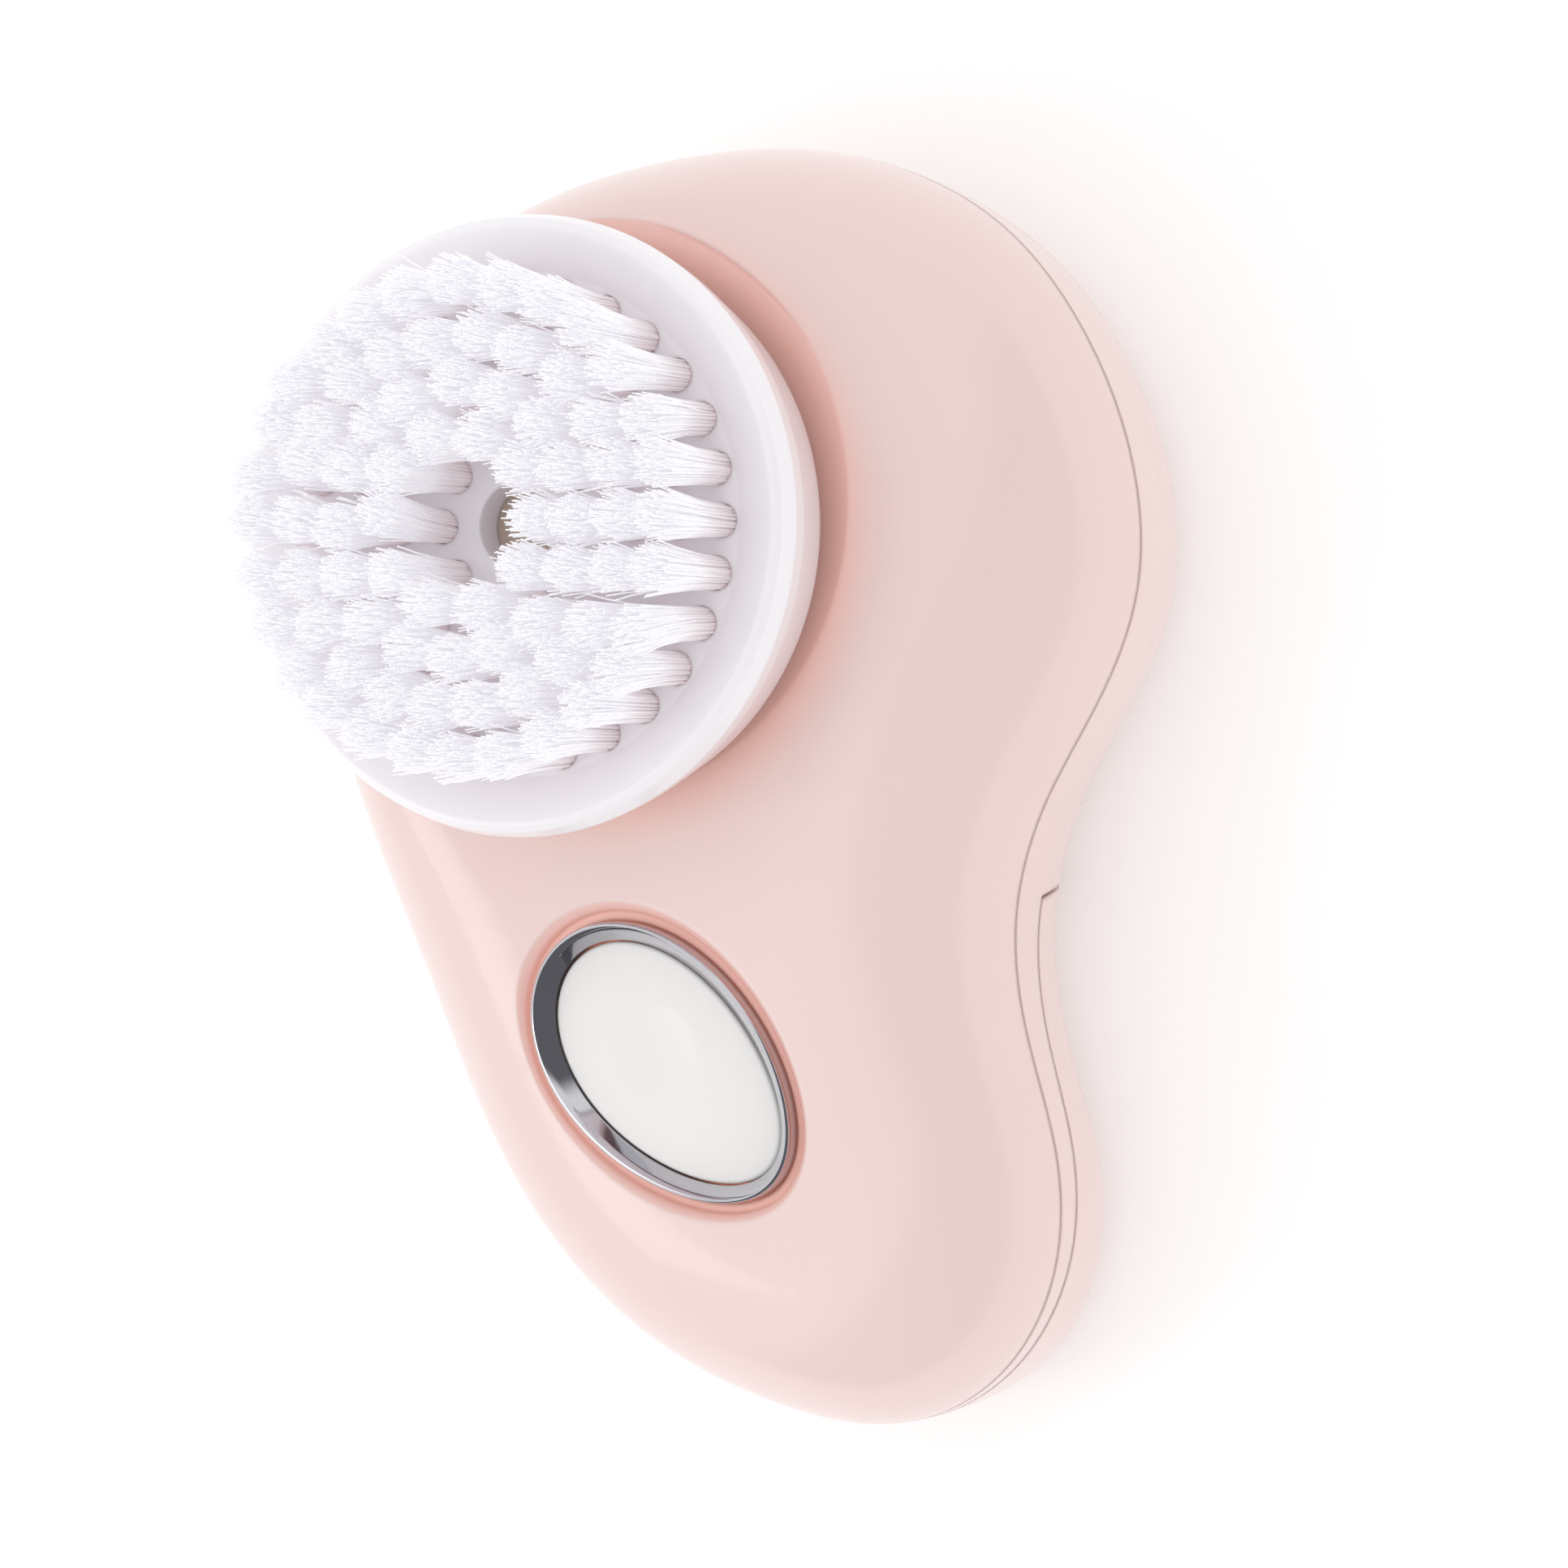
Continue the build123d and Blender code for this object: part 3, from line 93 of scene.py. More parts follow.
@dataclass(frozen=True)
class Finish:
    """One material: a slightly uneven colour, a slightly uneven gloss and a fine relief.

    Lengths are in millimetres.
    """

    slot: str
    colour: Colour
    shade: Colour
    roughness: float
    metallic: float = 0.0
    coat: float = 0.0
    coat_roughness: float = 0.08
    subsurface: float = 0.0
    scatter: Colour = (1.0, 0.5, 0.4)
    scatter_depth: float = 1.0
    transmission: float = 0.0
    sheen: float = 0.0
    ior: float = 1.46
    patch: float = 14.0
    patch_detail: float = 3.0
    patch_edges: tuple[float, float] = (0.3, 0.7)
    unevenness: float = 0.05
    smoothest: float = 0.02
    grain: Grain = Grain.MOULDED
    grain_size: float = 0.35
    grain_detail: float = 4.0
    grain_depth: float = 0.002
    grain_strength: float = 0.6
    glow: float = 0.0
    soft_edge: float = 0.0
    soft_edge_samples: int = 8

    def material(self) -> bpy.types.Material:
        """Builds the node tree.

        Returns:
            The material, named after the slot.
        """
        made = bpy.data.materials.new(f"{self.slot}_finish")
        made.use_nodes = True
        nodes, links = made.node_tree.nodes, made.node_tree.links
        shader = nodes["Principled BSDF"]
        place = nodes.new("ShaderNodeTexCoord")

        clouds = nodes.new("ShaderNodeTexNoise")
        clouds.inputs["Scale"].default_value = 1 / (self.patch * MM)
        clouds.inputs["Detail"].default_value = self.patch_detail
        links.new(place.outputs["Object"], clouds.inputs["Vector"])
        tint = nodes.new("ShaderNodeValToRGB")
        tint.color_ramp.elements[0].position = self.patch_edges[0]
        tint.color_ramp.elements[0].color = (*self.shade, 1.0)
        tint.color_ramp.elements[1].position = self.patch_edges[1]
        tint.color_ramp.elements[1].color = (*self.colour, 1.0)
        links.new(clouds.outputs["Fac"], tint.inputs["Fac"])
        links.new(tint.outputs["Color"], shader.inputs["Base Color"])

        stretch = nodes.new("ShaderNodeMapping")
        stretch.inputs["Scale"].default_value = self.grain.value
        links.new(place.outputs["Object"], stretch.inputs["Vector"])
        relief = nodes.new("ShaderNodeTexNoise")
        relief.inputs["Scale"].default_value = 1 / (self.grain_size * MM)
        relief.inputs["Detail"].default_value = self.grain_detail
        links.new(stretch.outputs["Vector"], relief.inputs["Vector"])
        gloss = nodes.new("ShaderNodeMapRange")
        gloss.inputs["To Min"].default_value = max(self.smoothest, self.roughness - self.unevenness)
        gloss.inputs["To Max"].default_value = min(1.0, self.roughness + self.unevenness)
        links.new(relief.outputs["Fac"], gloss.inputs["Value"])
        links.new(gloss.outputs["Result"], shader.inputs["Roughness"])
        bump = nodes.new("ShaderNodeBump")
        bump.inputs["Strength"].default_value = self.grain_strength
        bump.inputs["Distance"].default_value = self.grain_depth * MM
        links.new(relief.outputs["Fac"], bump.inputs["Height"])
        links.new(bump.outputs["Normal"], shader.inputs["Normal"])
        if self.soft_edge > 0:
            edge = nodes.new("ShaderNodeBevel")
            edge.samples = self.soft_edge_samples
            edge.inputs["Radius"].default_value = self.soft_edge * MM
            links.new(edge.outputs["Normal"], bump.inputs["Normal"])

        shader.inputs["Metallic"].default_value = self.metallic
        shader.inputs["IOR"].default_value = self.ior
        shader.inputs["Coat Weight"].default_value = self.coat
        shader.inputs["Coat Roughness"].default_value = self.coat_roughness
        shader.inputs["Subsurface Weight"].default_value = self.subsurface
        shader.inputs["Subsurface Radius"].default_value = self.scatter
        shader.inputs["Subsurface Scale"].default_value = self.scatter_depth * MM
        shader.inputs["Transmission Weight"].default_value = self.transmission
        shader.inputs["Sheen Weight"].default_value = self.sheen
        shader.inputs["Emission Strength"].default_value = self.glow
        self.refine(nodes, links, shader, place)
        # The glow takes the surface's own colour unless the finish has given it another.
        if not shader.inputs["Emission Color"].is_linked:
            links.new(shader.inputs["Base Color"].links[0].from_socket, shader.inputs["Emission Color"])
        return made

    def refine(self, nodes: bpy.types.Nodes, links: bpy.types.NodeLinks, shader: bpy.types.Node,
               place: bpy.types.Node) -> None:
        """Adds what one kind of finish has beyond the others: nothing here.

        Args:
            nodes: The nodes of the material.
            links: The links of the material.
            shader: The shader, with its plain colour linked.
            place: The node that gives the surface's place.
        """


@dataclass(frozen=True)
class BristleFinish(Finish):
    """Nylon filament with painted shade: darker and warmer low down, near the carrier, where the tufts shade
    each other.
    """

    painted_root_shade: Colour = (0.5, 0.45, 0.45)
    root_z: float = 41.3
    clear_z: float = 47.0

    def refine(self, nodes: bpy.types.Nodes, links: bpy.types.NodeLinks, shader: bpy.types.Node,
               place: bpy.types.Node) -> None:
        """Blends the painted shade colour into the filament's colour by height.

        Args:
            nodes: The nodes of the material.
            links: The links of the material.
            shader: The shader, with its plain colour linked.
            place: The node that gives the surface's place.
        """
        height = nodes.new("ShaderNodeSeparateXYZ")
        links.new(place.outputs["Object"], height.inputs["Vector"])
        share = nodes.new("ShaderNodeMapRange")
        share.inputs["From Min"].default_value = self.root_z * MM
        share.inputs["From Max"].default_value = self.clear_z * MM
        links.new(height.outputs["Z"], share.inputs["Value"])
        blend = nodes.new("ShaderNodeMix")
        blend.data_type = "RGBA"
        links.new(share.outputs["Result"], blend.inputs["Factor"])
        # Painted shade: the filaments darken towards the carrier by height.
        blend.inputs["A"].default_value = (*self.painted_root_shade, 1.0)
        plain = shader.inputs["Base Color"].links[0].from_socket
        links.new(plain, blend.inputs["B"])
        links.new(blend.outputs["Result"], shader.inputs["Base Color"])


@dataclass(frozen=True)
class BandedFinish(Finish):
    """A sleeve or winding with regular bands across its length."""

    band: Colour = (0.1, 0.1, 0.1)
    band_pitch: float = 0.3
    band_share: float = 0.35
    along: Place = (0.0, 0.0, 1.0)
    turn: float = 0.0

    def refine(self, nodes: bpy.types.Nodes, links: bpy.types.NodeLinks, shader: bpy.types.Node,
               place: bpy.types.Node) -> None:
        """Lays the bands over the plain colour.

        Args:
            nodes: The nodes of the material.
            links: The links of the material.
            shader: The shader, with its plain colour linked.
            place: The node that gives the surface's place.
        """
        half = self.band_pitch * MM / 2
        aim = nodes.new("ShaderNodeMapping")
        aim.inputs["Rotation"].default_value = (0.0, 0.0, self.turn)
        links.new(place.outputs["Object"], aim.inputs["Vector"])
        along = nodes.new("ShaderNodeVectorMath")
        along.operation = "DOT_PRODUCT"
        along.inputs[1].default_value = self.along
        links.new(aim.outputs["Vector"], along.inputs[0])
        cycle = nodes.new("ShaderNodeMath")
        cycle.operation = "PINGPONG"
        cycle.inputs[1].default_value = half
        links.new(along.outputs["Value"], cycle.inputs[0])
        step = nodes.new("ShaderNodeMath")
        step.operation = "LESS_THAN"
        step.inputs[1].default_value = half * self.band_share
        links.new(cycle.outputs["Value"], step.inputs[0])
        blend = nodes.new("ShaderNodeMix")
        blend.data_type = "RGBA"
        links.new(step.outputs["Value"], blend.inputs["Factor"])
        plain = shader.inputs["Base Color"].links[0].from_socket
        links.new(plain, blend.inputs["A"])
        blend.inputs["B"].default_value = (*self.band, 1.0)
        links.new(blend.outputs["Result"], shader.inputs["Base Color"])


@dataclass(frozen=True)
class PaintedHollowShadeFinish(Finish):
    """Plastic with painted shade and a painted glow: an occlusion mask on the front turns its hollows a warmer
    colour and makes them emit.
    """

    # The two colours below are the painted shade and the painted glow of the hollows.
    hollow: Colour = paint(228, 160, 144)
    painted_hollow_glow: Colour = (0.42, 0.19, 0.145)
    reach: float = 5.0
    samples: int = 6
    most: float = 0.6
    from_z: float = 21.0
    full_z: float = 25.0

    def refine(self, nodes: bpy.types.Nodes, links: bpy.types.NodeLinks, shader: bpy.types.Node,
               place: bpy.types.Node) -> None:
        """Paints shade into the hollows as a warmer colour and adds a painted glow there.

        Args:
            nodes: The nodes of the material.
            links: The links of the material.
            shader: The shader, with its plain colour linked.
            place: The node that gives the surface's place.
        """
        # Painted shade and painted glow: the occlusion mask, kept to the front by height, tints the hollows
        # and makes them emit.
        closed = nodes.new("ShaderNodeAmbientOcclusion")
        closed.samples = self.samples
        closed.inputs["Distance"].default_value = self.reach * MM
        height = nodes.new("ShaderNodeSeparateXYZ")
        links.new(place.outputs["Object"], height.inputs["Vector"])
        front = nodes.new("ShaderNodeMapRange")
        front.inputs["From Min"].default_value = self.from_z * MM
        front.inputs["From Max"].default_value = self.full_z * MM
        links.new(height.outputs["Z"], front.inputs["Value"])
        depth = nodes.new("ShaderNodeMath")
        depth.operation = "SUBTRACT"
        depth.inputs[0].default_value = 1.0
        links.new(closed.outputs["AO"], depth.inputs[1])
        capped = nodes.new("ShaderNodeMath")
        capped.operation = "MINIMUM"
        capped.inputs[1].default_value = self.most
        links.new(depth.outputs["Value"], capped.inputs[0])
        share = nodes.new("ShaderNodeMath")
        share.operation = "MULTIPLY"
        links.new(capped.outputs["Value"], share.inputs[0])
        links.new(front.outputs["Result"], share.inputs[1])
        painted_shade_mix = nodes.new("ShaderNodeMix")
        painted_shade_mix.data_type = "RGBA"
        painted_shade_mix.inputs["B"].default_value = (*self.hollow, 1.0)
        links.new(share.outputs["Value"], painted_shade_mix.inputs["Factor"])
        links.new(shader.inputs["Base Color"].links[0].from_socket, painted_shade_mix.inputs["A"])
        painted_glow_mix = nodes.new("ShaderNodeMix")
        painted_glow_mix.data_type = "RGBA"
        painted_glow_mix.inputs["A"].default_value = (0.0, 0.0, 0.0, 1.0)
        painted_glow_mix.inputs["B"].default_value = (*self.painted_hollow_glow, 1.0)
        links.new(share.outputs["Value"], painted_glow_mix.inputs["Factor"])
        links.new(painted_shade_mix.outputs["Result"], shader.inputs["Base Color"])
        links.new(painted_glow_mix.outputs["Result"], shader.inputs["Emission Color"])


BAY_TURN = math.radians(-25.0)
FINISHES: tuple[Finish, ...] = (
    # The shell's hollows take painted shade and a painted glow; glow 1.0 only reaches the hollows.
    PaintedHollowShadeFinish("shell_pink", paint(237, 213, 209), paint(236, 210, 205), 0.24, coat=0.35,
                 coat_roughness=0.1, grain_size=0.8, grain_depth=0.0003, unevenness=0.02, patch=30.0,
                 soft_edge=0.7, glow=1.0),
    Finish("seal_rubber", paint(238, 204, 197), paint(234, 197, 189), 0.62, sheen=0.1, grain_depth=0.004),
    Finish("steel", paint(196, 196, 199), paint(176, 177, 181), 0.3, metallic=1.0, grain=Grain.TURNED,
           grain_size=0.12, unevenness=0.1),
    Finish("bezel_chrome", paint(206, 205, 210), paint(200, 199, 204), 0.06, metallic=1.0, unevenness=0.02,
           grain_size=0.8, grain_depth=0.0006),
    Finish("button_white", paint(238, 236, 234), paint(235, 233, 231), 0.3, coat=0.2, coat_roughness=0.15,
           subsurface=0.3, scatter=(1.0, 0.9, 0.8), scatter_depth=0.9, grain_depth=0.0012, patch=20.0),
    Finish("inner_plastic", paint(214, 213, 211), paint(205, 204, 201), 0.5, grain_depth=0.006),
    Finish("dark_plastic", paint(38, 38, 40), paint(30, 30, 32), 0.45, grain_depth=0.005),
    Finish("board_green", paint(34, 104, 66), paint(26, 88, 56), 0.32, coat=0.4, grain_size=0.8, patch=3.0),
    Finish("chip_ceramic", paint(168, 140, 104), paint(120, 96, 70), 0.5, patch=0.8),
    Finish("lamp_clear", paint(225, 236, 250), paint(215, 228, 246), 0.1, transmission=0.7, ior=1.5),
    BandedFinish("cell_wrap", paint(118, 132, 146), paint(108, 122, 138), 0.24, metallic=0.55, coat=0.5,
                 grain_size=0.6, band=paint(226, 228, 230), band_pitch=15.0, band_share=0.12,
                 along=(0.0, 1.0, 0.0), turn=BAY_TURN),
    Finish("contact_nickel", paint(206, 201, 192), paint(190, 184, 174), 0.28, metallic=1.0,
           grain=Grain.DRAWN, grain_size=0.2, unevenness=0.1),
    Finish("gear_plastic", paint(236, 232, 222), paint(230, 225, 213), 0.42, subsurface=0.3,
           scatter=(1.0, 0.9, 0.7), grain_depth=0.004),
    Finish("magnet", paint(74, 74, 76), paint(56, 56, 58), 0.6, metallic=0.4, patch=2.0, grain_depth=0.01),
    BandedFinish("rotor_iron", paint(128, 128, 132), paint(112, 112, 116), 0.42, metallic=0.9,
                 grain=Grain.STACKED, band=paint(58, 58, 62), band_pitch=0.5, band_share=0.25),
    BandedFinish("copper", paint(206, 120, 72), paint(190, 104, 60), 0.28, metallic=0.85, coat=0.3,
                 band=paint(120, 58, 30), band_pitch=0.32, band_share=0.3),
    Finish("bush_brass", paint(214, 178, 108), paint(198, 160, 92), 0.3, metallic=1.0, grain=Grain.TURNED,
           grain_size=0.12, unevenness=0.1),
    Finish("disc_white", paint(245, 242, 246), paint(243, 240, 244), 0.2, coat=0.3, coat_roughness=0.1,
           soft_edge=0.4, subsurface=0.3, scatter=(1.0, 0.9, 0.95), scatter_depth=1.0,
           grain_depth=0.0012, patch=24.0),
    Finish("socket_cream", paint(206, 190, 174), paint(194, 176, 160), 0.5, grain_depth=0.005),
    # Bristles: a painted glow of 0.18 brightens the filaments, and a painted shade colour darkens them towards
    # the carrier.
    BristleFinish("bristle_white", paint(250, 249, 252), paint(245, 243, 248), 0.42, subsurface=0.35,
                  scatter=(1.0, 0.95, 0.95), scatter_depth=0.4, sheen=0.15, patch=1.2, grain_size=0.08,
                  grain_depth=0.002, glow=0.18, painted_root_shade=paint(226, 214, 216)),
    Finish("wire_skin", paint(176, 44, 40), paint(160, 36, 34), 0.45, grain_depth=0.004),
)


@dataclass
class Wardrobe:
    """Every finish of the object by the name of its slot."""

    made: dict[str, bpy.types.Material] = field(default_factory=dict)

    def __post_init__(self) -> None:
        """Builds each material once."""
        for finish in FINISHES:
            self.made[finish.slot] = finish.material()

    def dress_frame(self) -> None:
        """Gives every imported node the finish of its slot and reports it."""
        for part in frame["record"]["subparts"]:
            body = frame["nodes"][part["node"]]
            for place in body.material_slots:
                place.material = self.made[part["material_slot"]]
            log.info("dressed %s in %s", part["node"], part["material_slot"])

    def dress(self, piece: bpy.types.Object, slot: str) -> None:
        """Args:
            piece: The new piece.
            slot: The name of its slot.
        """
        piece.data.materials.clear()
        piece.data.materials.append(self.made[slot])


# ---------------------------------------------------------------- shared mesh steps
def new_piece(name: str, bm: bmesh.types.BMesh) -> bpy.types.Object:
    """Turns a bmesh into a smooth-shaded piece at the origin and frees the bmesh.

    Args:
        name: The piece's name.
        bm: The finished bmesh.

    Returns:
        The new object, linked to the scene.
    """
    mesh = bpy.data.meshes.new(name)
    bm.to_mesh(mesh)
    bm.free()
    mesh.shade_smooth()
    mesh.set_sharp_from_angle(angle=CREASE)
    piece = bpy.data.objects.new(name, mesh)
    bpy.context.scene.collection.objects.link(piece)
    return piece


# ---------------------------------------------------------------- brush head
@dataclass(frozen=True)
class TuftRing:
    """One ring of tufts: the node it stands for, its radius and its number of tufts."""

    node: str
    radius: float
    count: int


@dataclass
class BrushHead:
    """The filaments of the spinning head's tufts. Millimetres."""

    wardrobe: Wardrobe
    rings: tuple[TuftRing, ...] = (
        TuftRing("tufts_outer", 18.65, 28), TuftRing("tufts_third", 14.75, 22),
        TuftRing("tufts_second", 10.8, 16), TuftRing("tufts_inner", 6.9, 10),
    )
    seed: int = 40
    floor_above: float = 1.9
    hairs_per_tuft: int = 215
    hair_r: float = 0.095
    tip_taper: float = 0.62
    taper_power: int = 3
    base_r: float = 1.28
    flare: float = 1.58
    flare_range: tuple[float, float] = (0.7, 1.35)
    bend_power: float = 1.7
    lean: float = 0.35
    outward: float = 0.15
    uneven_tops: float = 0.35
    jitter: float = 0.2
    wander: float = 0.16
    stray_share: float = 0.04
    stray: float = 1.1
    stray_reach: float = 0.5
    seat_depth: float = 0.6
    short_by: float = 1.5
    dome: float = 0.75
    ragged: float = 0.35
    steps: tuple[float, ...] = (0.0, 0.36, 0.7, 1.0)

    def build(self) -> None:
        """Makes the filaments of every ring."""
        floor_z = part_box("tufts_outer")[0].z / MM + self.floor_above
        tip_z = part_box("tufts_outer")[1].z / MM
        for number, ring in enumerate(self.rings):
            piece = self.filaments(ring, floor_z, tip_z, random.Random(self.seed + number))
            self.wardrobe.dress(piece, "bristle_white")
            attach(piece, "brush_head")
            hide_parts(ring.node)
            log.info("made %s with %d faces", piece.name, len(piece.data.polygons))

    def filaments(self, ring: TuftRing, floor_z: float, tip_z: float,
                  chance: random.Random) -> bpy.types.Object:
        """Draws each filament of a ring as a thin tapering curve and turns them into one mesh.

        Args:
            ring: The ring of tufts.
            floor_z: Height of the carrier's floor.
            tip_z: Height of the longest tips.
            chance: The ring's own seeded source of chance.

        Returns:
            The ring's filaments as a piece.
        """
        strands = bpy.data.curves.new(f"{ring.node}_strands", "CURVE")
        strands.dimensions = "3D"
        strands.resolution_u = 1
        strands.bevel_depth = self.hair_r * MM
        strands.bevel_resolution = 0
        strands.use_fill_caps = True
        for index in range(ring.count):
            turn = 2 * math.pi * index / ring.count
            self.tuft(strands, ring, turn, floor_z, tip_z, chance)
        holder = bpy.data.objects.new(strands.name, strands)
        bpy.context.scene.collection.objects.link(holder)
        mesh = bpy.data.meshes.new_from_object(holder)
        bpy.data.objects.remove(holder)
        bpy.data.curves.remove(strands)
        mesh.name = f"bristles_{ring.node.split('_')[1]}"
        mesh.shade_smooth()
        piece = bpy.data.objects.new(mesh.name, mesh)
        bpy.context.scene.collection.objects.link(piece)
        return piece

    def tuft(self, strands: bpy.types.Curve, ring: TuftRing, turn: float, floor_z: float, tip_z: float,
             chance: random.Random) -> None:
        """Adds the filaments of one tuft to the ring's curve.

        Args:
            strands: The ring's curve.
            ring: The ring of tufts.
            turn: Where on the ring the tuft stands, in radians.
            floor_z: Height of the carrier's floor.
            tip_z: Height of the longest tips.
            chance: The ring's own seeded source of chance.
        """
        away = Vector((math.cos(turn), math.sin(turn), 0.0))
        aside = Vector((-away.y, away.x, 0.0))
        centre = away * ring.radius
        outward = self.outward * ring.radius / self.rings[0].radius
        tuft_lean = away * (outward + chance.gauss(0, self.lean / 2))
        tuft_lean += aside * chance.gauss(0, self.lean)
        tuft_top = tip_z - chance.uniform(0.0, self.uneven_tops)
        low = floor_z - self.seat_depth
        for number in range(self.hairs_per_tuft):
            spread = math.sqrt((number + 0.5) / self.hairs_per_tuft)
            around = number * GOLDEN_ANGLE + chance.uniform(-self.jitter, self.jitter)
            offset = (away * math.cos(around) + aside * math.sin(around)) * spread * self.base_r
            splay = offset * (self.flare - 1) * chance.uniform(*self.flare_range)
            wander = Vector((chance.gauss(0, self.wander), chance.gauss(0, self.wander), 0.0))
            if chance.random() < self.stray_share:
                astray = Vector((chance.gauss(0, self.stray), chance.gauss(0, self.stray), 0.0))
                wander += astray * self.stray_reach
            drop = self.short_by * (self.dome * spread * spread + self.ragged * chance.random() ** 2)
            top = tuft_top - drop
            spline = strands.splines.new("POLY")
            spline.points.add(len(self.steps) - 1)
            places: list[float] = []
            for step in self.steps:
                point = centre + offset + (splay + tuft_lean + wander) * step ** self.bend_power
                places.extend((point.x * MM, point.y * MM, (low + (top - low) * step) * MM, 1.0))
            spline.points.foreach_set("co", places)
            widths = [1.0 + (self.tip_taper - 1.0) * step ** self.taper_power for step in self.steps]
            spline.points.foreach_set("radius", widths)


# ---------------------------------------------------------------- button and its ring
@dataclass(frozen=True)
class EggRing:
    """One ring of an egg-shaped skin, in millimetres from the shared outline and from the face."""

    margin: float
    height: float
    share: float = 1.0
    crowned: bool = False


@dataclass
class ButtonSet:
    """The bright ring and the push button, skinned ring by ring on one egg. Millimetres and degrees."""

    wardrobe: Wardrobe
    centre: Place = (6.2, -43.5, 28.573)
    turn: float = -42.0
    face_slope: float = 0.042
    half_length: float = 13.8
    half_width: float = 9.0
    skew: float = 0.10
    around: int = 96
    rounding_steps: int = 5
    low: float = -2.6
    proud: float = 0.35
    edge_r: float = 0.35
    lip: float = 0.45
    band: float = 1.5
    funnel_low: float = -1.1
    funnel_steps: int = 6
    crown_top: float = -0.75
    crown_r: float = 130.0
    crown_rings: int = 36
    pole_step: float = 0.3
    dimple_x: float = -1.6
    dimple_r: float = 3.9
    dimple_depth: float = 0.25
    button_margin: float = -1.65
    button_edge_r: float = 0.3
    button_skin: float = 1.6
    ceiling_share: float = 0.02
    flange: float = 0.95
    flange_top: float = -4.6
    flange_low: float = -5.4
    post_r: float = 1.8
    post_low: float = -6.2
    post_sunk: float = 0.1
    post_around: int = 48

    def build(self) -> None:
        """Makes the ring and the button."""
        ring = new_piece("bezel_skin", self.loft(self.ring_profile(), looped=True))
        self.wardrobe.dress(ring, "bezel_chrome")
        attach(ring, "housing")
        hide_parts("button_bezel")
        log.info("made %s with %d faces", ring.name, len(ring.data.polygons))
        bm = self.loft(self.button_profile(), looped=False)
        self.add_post(bm)
        button = new_piece("button_skin", bm)
        self.wardrobe.dress(button, "button_white")
        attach(button, "button")
        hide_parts("power_button")
        log.info("made %s with %d faces", button.name, len(button.data.polygons))

    def frame(self) -> Matrix:
        """Gives the egg's own axes: long axis, short axis, outward, and its centre.

        Returns:
            The matrix from the egg's axes to the object's, in metres.
        """
        turn = math.radians(self.turn)
        along = Vector((math.cos(turn), math.sin(turn), self.face_slope * math.sin(turn))).normalized()
        out = Vector((0.0, -self.face_slope, 1.0)).normalized()
        turned = Matrix((along, out.cross(along), out)).transposed().to_4x4()
        return Matrix.Translation(Vector(self.centre) * MM) @ turned

    def crown(self, x: float, y: float) -> float:
        """Gives the height of the button's top with its faint thumb hollow.

        Args:
            x: Place along the long axis.
            y: Place along the short axis.

        Returns:
            The height above the face.
        """
        top = self.crown_top - self.crown_r + math.sqrt(self.crown_r ** 2 - x * x - y * y)
        away = min(1.0, math.hypot(x - self.dimple_x, y) / self.dimple_r)
        return top - self.dimple_depth * (1.0 - away ** 2)

    def point(self, angle: float, ring: EggRing) -> Vector:
        """Gives one point of a ring in the egg's own axes, in metres.

        Args:
            angle: Where on the egg the point lies, in radians.
            ring: The ring.

        Returns:
            The point.
        """
        x = (self.half_length + ring.margin) * math.cos(angle) * ring.share
        narrowing = 1 - self.skew * math.cos(angle)
        y = (self.half_width + ring.margin) * math.sin(angle) * narrowing * ring.share
        z = ring.height + (self.crown(x, y) if ring.crowned else 0.0)
        return Vector((x, y, z)) * MM

    def loft(self, rings: list[EggRing], looped: bool) -> bmesh.types.BMesh:
        """Extrudes one egg-shaped ring after another into a closed skin.

        Args:
            rings: The rings in order.
            looped: The last ring meets the first; otherwise both ends are filled.

        Returns:
            The skin, in place.
        """
        bm = bmesh.new()
        place = bm.verts.layers.float.new("angle")
        bmesh.ops.create_circle(bm, segments=self.around, radius=1.0, cap_ends=False)
        verts, edges = list(bm.verts), list(bm.edges)
        for vert in verts:
            vert[place] = math.atan2(vert.co.y, vert.co.x)
        for number, ring in enumerate(rings):
            if number:
                grown = bmesh.ops.extrude_edge_only(bm, edges=edges)["geom"]
                verts = [item for item in grown if isinstance(item, bmesh.types.BMVert)]
                kept = set(verts)
                edges = [item for item in grown
                         if isinstance(item, bmesh.types.BMEdge) and kept.issuperset(item.verts)]
            for vert in verts:
                vert.co = self.point(vert[place], ring)
        if looped:
            bmesh.ops.remove_doubles(bm, verts=bm.verts, dist=MERGE)
        else:
            bmesh.ops.holes_fill(bm, edges=bm.edges, sides=0)
        bmesh.ops.recalc_face_normals(bm, faces=bm.faces)
        bmesh.ops.transform(bm, matrix=self.frame(), verts=bm.verts)
        return bm

    def ring_profile(self) -> list[EggRing]:
        """Lists the rings of the bezel: outer wall, rounded top, funnel, inner wall.

        Returns:
            The rings, the last on the first.
        """
        rings = [EggRing(0.0, self.low)]
        for step in range(self.rounding_steps + 1):
            turn = math.radians(90 * step / self.rounding_steps)
            rings.append(EggRing(self.edge_r * (math.cos(turn) - 1),
                                 self.proud - self.edge_r * (1 - math.sin(turn))))
        for step in range(1, self.funnel_steps + 1):
            share = step / self.funnel_steps
            rings.append(EggRing(-self.lip - (self.band - self.lip) * share,
                                 self.proud + (self.funnel_low - self.proud) * share))
        rings += [EggRing(-self.band, self.low), EggRing(0.0, self.low)]
        return rings

